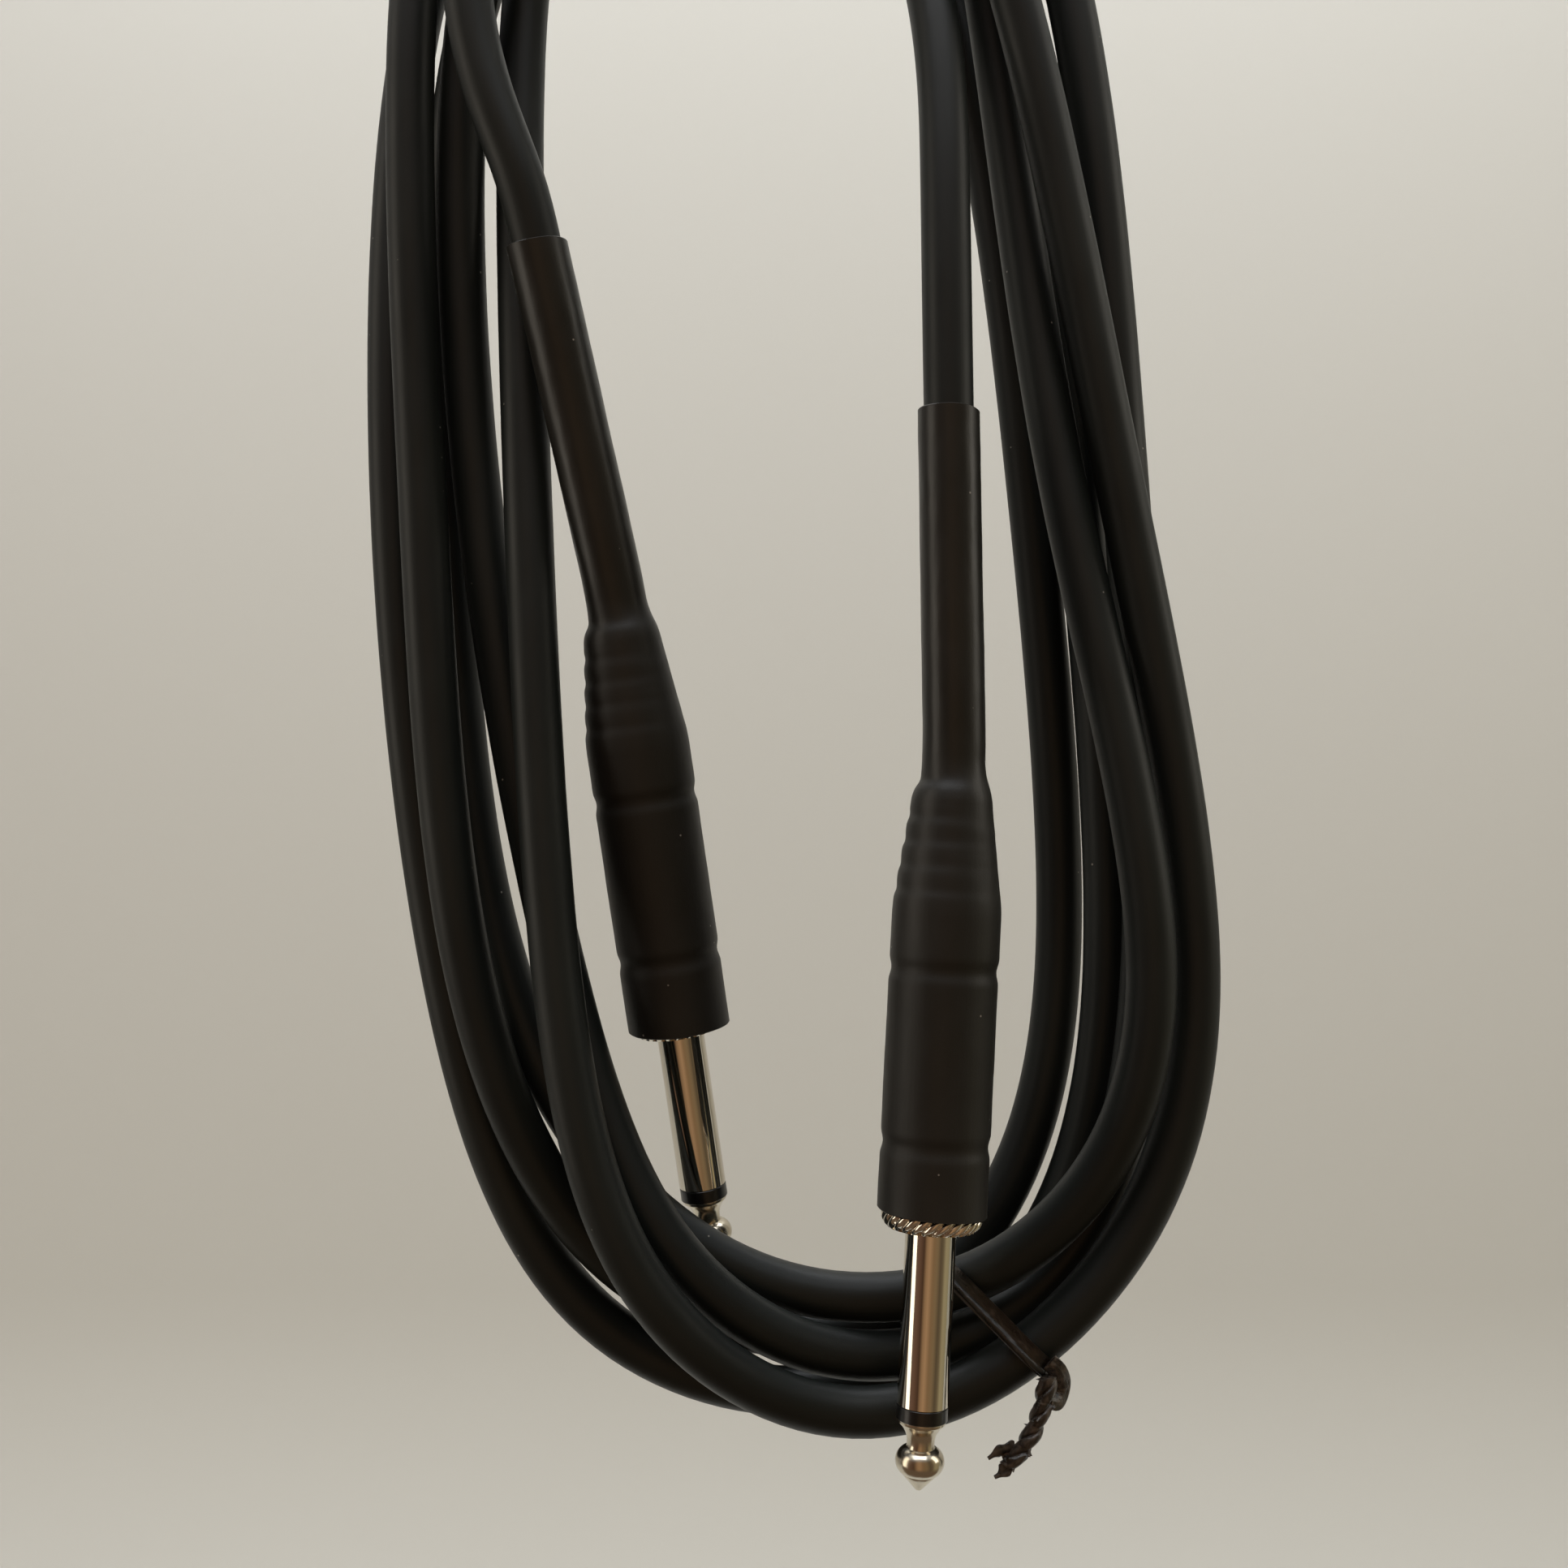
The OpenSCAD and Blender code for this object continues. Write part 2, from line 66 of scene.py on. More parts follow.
# %% [markdown]
# ## The camera
#
# A hand-held phone looks at the hanging loops from some 20 centimetres, tilted up a little. Its
# lens sees about 53 degrees. Such a close, wide view shows perspective: the near strands look
# thicker. The lens could be typed in as millimetres; it is worked out from the picture's width here,
# because Blender's millimetres only mean something together with the sensor's width. The camera
# comes first, because everything else is judged through it.

# %% Camera
PICTURE_SIDE = 1932
FOCAL_LENGTH = 1935 / PICTURE_SIDE  # in widths of the picture
SENSOR = 36
PHONE_PLACE = (8, -209, -151)
PHONE_TILT = 3

camera = bpy.data.objects.new("camera", bpy.data.cameras.new("camera"))
camera.data.sensor_width = SENSOR
camera.data.lens = SENSOR * FOCAL_LENGTH
camera.data.clip_start = 0.005
camera.location = Vector(PHONE_PLACE) * MM
camera.rotation_euler = (radians(90 + PHONE_TILT), 0, 0)
bpy.context.scene.collection.objects.link(camera)
bpy.context.scene.camera = camera
bpy.context.scene.view_settings.view_transform = "Standard"
print("lens", round(camera.data.lens, 1), "mm")

# %% [markdown]
# ## One way to make a skin
#
# Almost everything on a cable is long and round: jacket, sleeving, turned contacts, twisted wire.
# All of them are a loft: sections on a row of frames, joined by quads. A frame is a small matrix
# that says where a section sits and which way it faces. Each vertex also keeps where it would be
# if the piece were pulled straight, in millimetres, so that a finish can run along a bent cable.

# %% Mesh piece


def new_piece(name, points, faces):
    """A mesh object in the scene, its points in metres."""
    mesh = bpy.data.meshes.new(name)
    mesh.from_pydata(points, [], faces)
    piece = bpy.data.objects.new(name, mesh)
    bpy.context.scene.collection.objects.link(piece)
    return piece


# %% Loft
STRAIGHT = "straight"


def loft(name, frames, sections, along, loop=False, crease=35):
    """A skin over sections of (x, y) or (x, y, shift along) in mm, one on each frame."""
    sides = len(sections[0])
    points = []
    straight = []
    for at, section, s in zip(frames, sections, along):
        for x, y, *shift in section:
            z = shift[0] if shift else 0
            points.append(at @ (Vector((x, y, z)) * MM))
            straight += [x, y, s + z]
    rows = len(frames) if loop else len(frames) - 1
    faces = []
    for i in range(rows):
        a = i * sides
        b = (i + 1) % len(frames) * sides
        for k in range(sides):
            n = (k + 1) % sides
            faces.append((a + k, a + n, b + n, b + k))
    if not loop:
        last = (len(frames) - 1) * sides
        faces.append(tuple(range(sides - 1, -1, -1)))
        faces.append(tuple(range(last, last + sides)))
    piece = new_piece(name, points, faces)
    piece.data.attributes.new(STRAIGHT, "FLOAT_VECTOR", "POINT").data.foreach_set("vector", straight)
    piece.data.polygons.foreach_set("use_smooth", [True] * len(faces))
    piece.data.set_sharp_from_angle(angle=radians(crease))
    return piece


# %% Frames along a line


def frames_along(points, side):
    """A frame on each point of a line, Z along it, turned as little as the line allows."""
    made = []
    for i, point in enumerate(points):
        ahead = (points[min(i + 1, len(points) - 1)] - points[max(i - 1, 0)]).normalized()
        side = (side - ahead * side.dot(ahead)).normalized()
        at = Matrix((side, ahead.cross(side), ahead)).transposed().to_4x4()
        at.translation = point
        made.append(at)
    return made


# %% [markdown]
# ## Where the plugs are
#
# Each plug hangs on its own end of the cable. A plug's frame has its origin in the middle of the
# flange's lower face and Z along the plug to the cable. The stiff barrel and the sleeving on the
# cable are both straight, and a short bend joins them at the barrel's tail, so a frame further up
# is turned about the middle of that bend. A small function could hold each plug's numbers, but a
# named tuple keeps both plugs side by side, where they are easy to compare.

# %% Plug sizes
FLANGE_LEN = 2.7
BARREL_TOP = FLANGE_LEN + 36.5
TAIL_TOP = BARREL_TOP + 15.2
BEND_FROM = TAIL_TOP + 1
BEND_LEN = 8
# Place of the flange, lean sideways, tilt away from the front, the sleeving's bend, how far the
# sleeving covers flange and cable, and the side on which it is pulled tight.
Plug = namedtuple("Plug", "place lean tilt bend cover past taut")
PLUGS = {
    "left": Plug(Vector((-6.1, 5, -173.1)), -8, 8.2, 4.3, 2.2, 50.6, -15),
    "right": Plug(Vector((26.3, -11, -195.8)), 3.1, 0, 3.7, 0.8, 48.6, -20),
}
print("plugs", *PLUGS)

# %% Plug frames


def sleeving_end(plug):
    return TAIL_TOP + plug.past


def plug_frame(plug, height):
    """The frame at a height in mm above the flange's lower face."""
    at = Matrix.Translation(plug.place * MM)
    at = at @ Matrix.Rotation(radians(plug.lean), 4, "Y") @ Matrix.Rotation(radians(plug.tilt), 4, "X")
    if height <= BEND_FROM:
        return at @ Matrix.Translation((0, 0, height * MM))
    radius = BEND_LEN / radians(plug.bend) * MM
    turn = radians(plug.bend) * min(1, (height - BEND_FROM) / BEND_LEN)
    at = at @ Matrix.Translation((-radius, 0, BEND_FROM * MM)) @ Matrix.Rotation(-turn, 4, "Y")
    return at @ Matrix.Translation((radius, 0, max(0, height - BEND_FROM - BEND_LEN) * MM))


EXITS = {side: plug_frame(plug, sleeving_end(plug)) for side, plug in PLUGS.items()}
for side, at in EXITS.items():
    print(side, "cable leaves its sleeving at", [round(x / MM, 1) for x in at.translation], "mm")

# %% [markdown]
# ## The route of the cable
#
# A cable that is wound over hand and elbow hangs in tall ovals that cross each other. The route
# follows a clock: each turn passes twelve hours of one leaning oval, and two tables say, in
# millimetres, how far that turn lies outside the oval and how deep it lies. A simulation would find
# its own lay of the strands and not this one. The tables are the weak spot of this script: a fitting
# program worked them out, they were rounded to half a millimetre, and only some hours over the top
# were changed afterwards. A formula with a few sizes for each turn would say more about the shape.

# %% Route tables
COIL_MIDDLE = (6, -102)
COIL_HALF = (46, 121)
COIL_LEAN = 0.1
HOURS = 12
REACH = [
    [-9.5, -3.5, -2.5, 0, 12, 0, 4, -4, -8.5, -14, -15, -16],
    [6.5, 11.5, 8.5, 3, 3, -1, -3.5, -9.5, -8.5, -5, -6.5, -15],
    [-8, 3, 2.5, -2.5, -1, -4.5, 3.5, 9.5, 9, 7, 4, -1.5],
    [-1.5, -7, -6, -8.5, -6.5, -13, -3.5, 0.5, 5.5, 0, 0, -0.5],
    [2, 1.5, -5, -8.5, 5.5, -9.5, -12, -10.5, 3, 0, -3.5, -12.5],
    [-10],
]
DEPTH = [
    [-10, -9, -8, -5, -3, -4, -2.5, -13.5, -8.5, -4, 2, 3.5],
    [4, 5, 2, 4, 0.5, 5, 0.5, -8, 0.5, 1.5, -1.5, -6],
    [-0.5, 5, 7, 9.5, 6, 12.5, 6.5, 5.5, 4.5, 4, 9, 13.5],
    [13.5, 12.5, 10, 11.5, 14.5, 12.5, 12.5, 5, -5, -2.5, -5.5, -1.5],
    [-4.5, -4.5, 1.5, -2.5, -10.5, -3, 4.5, 0.5, 5, 8.5, 7, 12],
    [10.5],
]
# The free ends' own points, between plug and coil, and how far from the sleeving the first one is.
LEFT_POINTS = [(-33, -12, -46), (-34.5, -12, -15)]
RIGHT_POINTS = [(18.5, 4.5, -1), (29, -6.5, -34)]
LEFT_STEP, RIGHT_STEP = 10, 28

# %% Route points


def power(value, exponent):
    return 0 if abs(value) < 0.001 else abs(value) ** exponent * (1 if value > 0 else -1)


def coil_point(turn, hour):
    """Where a turn is at an hour: on the leaning oval, moved out and in depth."""
    a = tau * hour / HOURS
    z = COIL_HALF[1] * power(cos(a), 0.85)
    x = COIL_HALF[0] * power(sin(a), 0.5) - COIL_LEAN * z
    out = Vector((sin(a), 0, 0.55 * cos(a))).normalized() * REACH[turn][hour]
    return Vector((COIL_MIDDLE[0] + x, DEPTH[turn][hour], COIL_MIDDLE[1] + z)) + out


def leaving(side, *distances):
    """Points on the straight line on which the cable leaves a plug's sleeving."""
    at = EXITS[side]
    return [at.translation / MM + at.col[2].to_3d() * d for d in distances]


route = leaving("left", -LEFT_STEP, 0, LEFT_STEP) + [Vector(p) for p in LEFT_POINTS]
route += [coil_point(turn, hour) for turn in range(len(REACH)) for hour in range(len(REACH[turn]))]
route += [Vector(p) for p in RIGHT_POINTS] + leaving("right", RIGHT_STEP, 0, -RIGHT_STEP)
ROUTE_END = len(route) - 3
print(len(route), "points on the route")

# %% [markdown]
# ## A smooth line through the route
#
# A Bezier curve object would need two handles for each point. A cubic B-spline needs none, and it
# is the right curve for a cable, because its bend never jumps: a real cable doesn't kink either.

# %% Smooth line


def curve(u):
    """The point that a cubic B-spline reaches after u of the route's steps, in mm."""
    i = min(int(u), len(route) - 4)
    t = u - i
    pull = ((1 - t) ** 3, 3 * t**3 - 6 * t * t + 4, -3 * t**3 + 3 * t * t + 3 * t + 1, t**3)
    return sum((route[i + k] * pull[k] for k in range(4)), Vector()) / 6


def spaced(points, step):
    """The line again, with points a step apart, and how far along each one is."""
    made, marks, walked, last = [points[0]], [0.0], 0.0, points[0]
    for point in points[1:]:
        while (point - last).length >= step:
            last = last + (point - last).normalized() * step
            walked += step
            made.append(last)
            marks.append(walked)
    return made + [points[-1]], marks + [walked + (points[-1] - last).length]


RING_STEP = 2.2
FINE_STEPS = 9000
TUCK = 1.5  # how far the cable runs on inside each sleeving

fine = [curve(ROUTE_END * k / FINE_STEPS) for k in range(FINE_STEPS + 1)]
line, marks = spaced(fine, RING_STEP)
line = leaving("left", -TUCK) + line + leaving("right", -TUCK)
marks = [-TUCK] + marks + [marks[-1] + TUCK]

# %% [markdown]
# ## The cable
#
# The jacket is extruded soft PVC, 6.4 mm thick. An extruder never keeps a perfect round: the jacket
# swells and thins by a few hundredths of a millimetre as the shield's lay shows through. A curve
# with a bevel would be quicker, but a lofted tube lets that be part of the mesh.

# %% Cable
CABLE_D = 6.4
CABLE_SIDES = 28


def jacket_section(s):
    swell = 0.02 * noise.noise(Vector((s / 9, 0, 0)))
    oval = 0.012 * sin(s / 31)
    return [
        ((CABLE_D / 2 + swell + oval) * cos(tau * k / CABLE_SIDES),
         (CABLE_D / 2 + swell - oval) * sin(tau * k / CABLE_SIDES))
        for k in range(CABLE_SIDES)
    ]


cable_frames = frames_along([p * MM for p in line], Vector((0, -1, 0)))
cable = loft("cable", cable_frames, [jacket_section(s) for s in marks], marks)
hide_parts("coil", "lead_left", "lead_right")
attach(cable, "root")
print("cable", len(line), "rings of", CABLE_SIDES, "sides")

# %% [markdown]
# ## Turned pieces
#
# Contacts and insulators are turned on a lathe, so their outline is drawn once and spun. Real
# turned edges are never sharp: the tool leaves a small chamfer, and that thin bright line is what
# tells the eye that a thing is metal. Blender's Screw modifier spins an outline too. The loft is
# used here because it can follow a plug's bend and change the radius as it goes round.

# %% Lathe
CONTACT_SIDES = 72


def plain(radius, height, angle):
    return radius, 0


def lathe(name, plug, outline, sides, shape=plain, loop=True):
    """Spins an outline of (height, radius) in mm about a plug's axis."""
    frames = [plug_frame(plug, z) for z, _ in outline]
    sections = []
    for z, r in outline:
        section = []
        for k in range(sides):
            a = tau * k / sides
            radius, shift = shape(r, z, a)
            section.append((radius * cos(a), radius * sin(a), shift))
        sections.append(section)
    return loft(name, frames, sections, [z for z, _ in outline], loop)


def arc(middle, radius, start, end, steps):
    """Points of (height, radius) on part of a circle; angles are from the outward direction."""
    made = []
    for k in range(steps + 1):
        a = radians(start + (end - start) * k / steps)
        made.append((middle[0] + radius * sin(a), middle[1] + radius * cos(a)))
    return made


def both(make, kind):
    """Makes a piece for each plug, in place of its CAD solid."""
    made = []
    for side, plug in PLUGS.items():
        piece = make(f"{kind}_{side}_skin", plug)
        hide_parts(f"{kind}_{side}")
        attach(piece, "root")
        made.append(piece)
    print(kind, len(made[0].data.polygons), "faces each")
    return made


# %% [markdown]
# ## The tip
#
# The tip has a ball that the jack's spring holds, a waist that it drops into and a blunt cone that
# finds the hole. Its rod runs on through the plug to the solder lug. A ball and two cones could be
# joined with booleans, but one spun outline keeps the creases between them crisp and the mesh even.
# The crease between ball and cone is kept: it is where the tool stopped and turned.

# %% Tip
SLEEVE_R = 6.35 / 2
SLEEVE_LEN = 21.7
RING_LEN = 1.7
TIP_TOP = -SLEEVE_LEN - RING_LEN
TIP_END = TIP_TOP - 8.6
BALL_DROP = 5.1
BALL_R = 6.1 / 2
BALL_ROUND = 1.8
WAIST_R = 1.72
WAIST = TIP_TOP - 3
FLARE_LEN = 2.55
FLARE_RISE = 1.2
COLLAR_R = 2.98
POINT_R = 0.42
CONE_LEN = 1.8
CONE_RISE = 1.7
ROD_R = 1.15
ROD_TOP = 11.7


def make_tip(name, plug):
    outline = [(TIP_END, POINT_R - 0.08)]
    outline += [(TIP_END + 0.06 + CONE_LEN * t, POINT_R + CONE_RISE * t) for t in (0, 0.25, 0.5, 0.75, 1)]
    outline += arc((TIP_TOP - BALL_DROP, BALL_R - BALL_ROUND), BALL_ROUND, -60, 64, 18)
    outline += [(WAIST - 0.5, 1.95), (WAIST - 0.42, 1.8), (WAIST - 0.2, WAIST_R)]
    # The waist flares out to the collar like the bell of a trumpet.
    flare = (0, 0.2, 0.4, 0.55, 0.7, 0.8, 0.9, 1)
    outline += [(WAIST + FLARE_LEN * t, WAIST_R + FLARE_RISE * t**2.4) for t in flare]
    outline += [(TIP_TOP - 0.4, COLLAR_R - 0.03), (TIP_TOP - 0.34, COLLAR_R), (TIP_TOP, COLLAR_R)]
    outline += [(TIP_TOP, ROD_R), (ROD_TOP, ROD_R)]
    return lathe(name, plug, outline, CONTACT_SIDES, loop=False)


tips = both(make_tip, "tip")

# %% [markdown]
# ## The black ring
#
# A ring of hard nylon keeps the tip apart from the sleeve contact. It is flush with the sleeve,
# because the jack's springs slide over it, and a thin tube of it lines the sleeve's bore. Ring and
# tube are one piece, so they are one closed outline here and not two pieces that touch.

# %% Insulating ring
BOSS_TOP = 9
TUBE_R = 2.1
RING_EDGE = 0.06


def make_insulator(name, plug):
    outline = [(TIP_TOP, ROD_R + 0.05), (TIP_TOP, SLEEVE_R - RING_EDGE), (TIP_TOP + RING_EDGE, SLEEVE_R)]
    outline += [(-SLEEVE_LEN - RING_EDGE, SLEEVE_R), (-SLEEVE_LEN, SLEEVE_R - RING_EDGE)]
    outline += [(-SLEEVE_LEN, TUBE_R), (BOSS_TOP, TUBE_R), (BOSS_TOP, ROD_R + 0.05)]
    return lathe(name, plug, outline, CONTACT_SIDES)


insulators = both(make_insulator, "front_insulator")

# %% [markdown]
# ## The sleeve contact
#
# The shaft, the flange and the boss for the barrel's thread are one turned piece. The flange has a
# rope knurl: slanted rounded ridges, rolled in to give the fingers a grip while the barrel is
# screwed on. A bump in the finish would be cheaper, but the ridges break the outline, so they are
# cut into the mesh.

# %% Sleeve contact
BORE_R = 2.15
BOSS_R = 4.9
FLANGE_R = 6.35
FLANGE_FACE_R = FLANGE_R - 0.8
KNURL_RIDGES = 26
KNURL_DEPTH = 0.45
KNURL_SLANT = 0.16
CHAMFER = 0.12


def knurled(radius, height, angle):
    """Rounded ridges with sharp valleys between them, slanted across the flange's edge."""
    if radius < FLANGE_R - 0.9 or not 0 < height < FLANGE_LEN:
        return radius, 0
    wave = abs(sin(KNURL_RIDGES / 2 * (angle - KNURL_SLANT * height)))
    worn = 1 + 0.25 * noise.noise(Vector((3 * cos(angle), 3 * sin(angle), height)))
    return radius - KNURL_DEPTH * worn * (1 - wave**0.7), 0


def make_sleeve(name, plug):
    outline = [(-SLEEVE_LEN, BORE_R), (-SLEEVE_LEN, SLEEVE_R - CHAMFER)]
    outline += [(-SLEEVE_LEN + CHAMFER, SLEEVE_R)]
    outline += [(-SLEEVE_LEN + 1 + k * (SLEEVE_LEN - 1.4) / 6, SLEEVE_R) for k in range(7)]
    outline += [(-0.15, SLEEVE_R), (0, SLEEVE_R + 0.15), (0, FLANGE_FACE_R)]
    outline += arc((FLANGE_LEN / 2, FLANGE_R - 1.5), 1.5, -58, 58, 14)
    outline += [(FLANGE_LEN, FLANGE_FACE_R), (FLANGE_LEN, BOSS_R)]
    outline += [(BOSS_TOP, BOSS_R), (BOSS_TOP, BORE_R)]
    return lathe(name, plug, outline, KNURL_RIDGES * 8, knurled)


sleeves = both(make_sleeve, "sleeve")

# %% [markdown]
# ## What lies under the sleeving
#
# The barrel itself is a CAD solid and stays. Its outline is drawn here once more, as heights and
# radii, because the sleeving takes its shape from it: two finger grooves and a tail in five steps.
# A Shrinkwrap modifier could feel for the solid instead, but it can't average what it finds.

# %% Barrel outline
BARREL_R = 6.35
TAIL_R = 4.35
TAIL_STEPS = 5
STEP_GROOVE = 0.3
GROOVES = (FLANGE_LEN + 7.6, FLANGE_LEN + 29.2)
GROOVE_W = 2.2
GROOVE_DEPTH = 0.3


def barrel_outline(start):
    """The barrel's outside as (height, radius), as far as the end of its tail."""
    made = [(start, BARREL_R)]
    for middle in GROOVES:
        made += [(middle - GROOVE_W / 2, BARREL_R), (middle - GROOVE_W / 4, BARREL_R - GROOVE_DEPTH)]
        made += [(middle + GROOVE_W / 4, BARREL_R - GROOVE_DEPTH), (middle + GROOVE_W / 2, BARREL_R)]
    drop = (TAIL_R - BARREL_R) / TAIL_STEPS
    rise = (TAIL_TOP - BARREL_TOP) / TAIL_STEPS
    for k in range(TAIL_STEPS):
        groove = STEP_GROOVE if k < TAIL_STEPS - 1 else 0
        made.append((BARREL_TOP + rise * k, BARREL_R + drop * k))
        made.append((BARREL_TOP + rise * (k + 0.6), BARREL_R + drop * (k + 0.5) + 0.1))
        made.append((BARREL_TOP + rise * (k + 0.95), BARREL_R + drop * (k + 1) - groove))
    return made + [(TAIL_TOP, TAIL_R)]


def between(outline, z):
    """The outline's radius at a height, on straight lines between its points."""
    for (a, ra), (b, rb) in zip(outline, outline[1:]):
        if z <= b:
            return ra + (rb - ra) * max(0, z - a) / max(b - a, 1e-6)
    return outline[-1][1]


def averaged(outline, z, reach):
    return sum(between(outline, z + reach * j / 3) for j in range(-3, 4)) / 7


print("barrel outline", len(barrel_outline(0)), "points")

# %% [markdown]
# ## Heat-shrink sleeving
#
# Sleeving is a thin plastic tube that is slid over the finished plug and shrunk with hot air. It
# pulls tight, so what is under it shows. It bridges hollows, most of all on the side on which the
# cable pulls it taut. Hand and hot air leave it slightly uneven, and scissors leave its ends not
# quite square. A cloth simulation could shrink it, but two outlines, one loose and one taut, and a
# share between them that changes round the plug, say the same in a few lines.

# %% Sleeving
FILM = 0.45
FILM_TIGHT = 0.7
FIT = 0.05
GRIP_R = CABLE_D / 2 + FIT
TIGHT_R = GRIP_R + FILM_TIGHT
SLEEVING_SIDES = 72
SLEEVING_STEP = 0.38
SOFT_EDGE = 0.1
DENT = 0.05
WRINKLE = 0.03
CUT_SLANT = 0.24


def sleeving_outline(start, end, film):
    """Up the film's outside, round its soft edges and down its inside."""
    count = ceil((end - start) / SLEEVING_STEP)
    heights = [start + (end - start) * k / count for k in range(1, count)]
    outline = [(start, BARREL_R + FIT), (start, BARREL_R + FIT + FILM - SOFT_EDGE)]
    outline += [(start + SOFT_EDGE, BARREL_R + FIT + FILM)]
    outline += [(z, averaged(film, z, 0.4)) for z in heights]
    outline += [(end - SOFT_EDGE, TIGHT_R), (end, TIGHT_R - SOFT_EDGE), (end, GRIP_R)]
    outline += [(BEND_FROM + (end - BEND_FROM) * k / 12, GRIP_R) for k in range(11, -1, -1)]
    outline += [(TAIL_TOP + FIT, GRIP_R)]
    return outline + [(z, r + FIT) for z, r in reversed(barrel_outline(start)[1:])]


def make_sleeving(name, plug):
    start = FLANGE_LEN - plug.cover
    end = sleeving_end(plug)
    film = [(z, r + FIT + FILM) for z, r in barrel_outline(start)]
    film += [(BEND_FROM, TIGHT_R), (end, TIGHT_R)]
    # Where the film is taut it runs straight from the barrel to the cable.
    pulled = [(start, BARREL_R + FIT + FILM), (BARREL_TOP + 0.6, BARREL_R + FIT + FILM)]
    pulled += [(TAIL_TOP, TAIL_R + FIT + FILM + 0.1), (TAIL_TOP + 2.5, TIGHT_R + 0.05), (end, TIGHT_R)]

    def shrunk(radius, height, angle):
        if radius < GRIP_R + 0.3 or radius < between(film, height) - FILM + 0.06:
            return radius, 0
        side = cos(angle - radians(plug.taut))
        loose = averaged(film, height, 0.4)
        taut = averaged(pulled, height, 1.2)
        softened = averaged(film, height, 0.7)
        share = max(0.2, 0.5 + 0.45 * side) if height > BARREL_TOP - 0.5 else 0
        radius += share * (taut - loose) + (1 - share) * 0.35 * (softened - loose)
        place = Vector((cos(angle) * 1.3, sin(angle) * 1.3, height / 8))
        dent = DENT * noise.noise(place) + 0.4 * DENT * noise.noise(place * 3.3)
        # Fine wrinkles run round the film where it had to shrink most.
        most = exp(-((height - TAIL_TOP + 4) / 8) ** 2)
        ripple = noise.noise(Vector((cos(angle) * 0.8, sin(angle) * 0.8, height * 1.1)))
        cut = max(0, 1 - min(height - start, end - height) / 3)
        shift = cut * (-CUT_SLANT * cos(angle) + 0.05 * sin(3 * angle + plug.taut))
        return radius + (dent + WRINKLE * most * ripple) * (1 - cut), shift

    return lathe(name, plug, sleeving_outline(start, end, film), SLEEVING_SIDES, shrunk)


sleevings = both(make_sleeving, "shrink")

# %% [markdown]
# ## Where the twist tie runs
#
# The tie is a steel wire between two films of black plastic. It runs once round the five strands.
# Its path round them is what a tight ribbon does: an arc about each outer strand and a straight
# run to the next one. A ring could be pushed into place by hand, but it would be loose or cut in. So
# the first thing to find is where each strand passes the tie's plane.

# %% Strands in the tie
TIE_AT = Vector((37.7, 0, -211.2))
TIE_SLOPE = radians(43)
TIE_GAP = 0.35
TIE_ALONG = Vector((cos(TIE_SLOPE), 0, -sin(TIE_SLOPE)))
TIE_ACROSS = Vector((sin(TIE_SLOPE), 0, cos(TIE_SLOPE)))
FIRST_TURN = len(LEFT_POINTS) + 2  # the step of the route at which the coil begins
FIRST_HOUR, LAST_HOUR = 3, 6
LOOKS_PER_HOUR = 40


def crossing(turn):
    """Where a turn of the cable passes through the tie's plane, as (along the tie, depth)."""
    hour = FIRST_TURN + HOURS * turn + FIRST_HOUR
    near = [curve(hour + k / LOOKS_PER_HOUR) for k in range(LOOKS_PER_HOUR * (LAST_HOUR - FIRST_HOUR))]
    best = min(near, key=lambda p: abs((p - TIE_AT).dot(TIE_ACROSS)))
    return (best - TIE_AT).dot(TIE_ALONG), best.y


strands = [crossing(turn) for turn in range(len(REACH) - 1)]


def in_tie_plane(along, depth):
    return TIE_AT + TIE_ALONG * along + Vector((0, depth, 0))


def ribbon_point(a, out):
    """A point on the ribbon's path, in the direction a of the tie's plane."""
    way = (cos(a), sin(a))
    s = max(strands, key=lambda p: p[0] * way[0] + p[1] * way[1])
    r = CABLE_D / 2 + TIE_GAP + out
    return in_tie_plane(s[0] + r * way[0], s[1] + r * way[1])


print("strands at", [(round(along, 1), round(depth, 1)) for along, depth in strands])

# %% [markdown]
# ## The tie's ribbon
#
# The wire shows as a ridge under the film, and the film's thin edges curl. A flat plane with a
# Solidify modifier would be too even, so both are in the section that is lofted: light catches the
# ridge as one long line. The ribbon keeps its flat side out of the loop.

# %% Tie band
TIE_W = 2.6
TIE_WIRE = 0.6
TIE_FILM = 0.13
RIDGE_HALF_W = 0.4
CURL = 0.2
RIBBON_COLUMNS = 18
TAIL_SIDE = radians(60)
BAND_START = -TAIL_SIDE + radians(4)
BAND_STEPS = 150


def ribbon_section(s):
    """A film with the wire's ridge near one edge, where handling has pushed it, and curled edges."""
    wire_at = -0.7 + 0.1 * sin(s / 7)
    top = []
    for k in range(RIBBON_COLUMNS + 1):
        x = TIE_W * (k / RIBBON_COLUMNS - 0.5)
        lump = TIE_WIRE / 2 * max(0, 1 - ((x - wire_at) / RIDGE_HALF_W) ** 2) ** 0.5
        curl = CURL * (2 * x / TIE_W) ** 2 + 0.05 * noise.noise(Vector((x, s / 2.5, 4)))
        top.append((x, curl, lump + TIE_FILM / 2))
    upper = [(y + t, x) for x, y, t in top]
    lower = [(y - t, x) for x, y, t in reversed(top)]
    return upper + lower


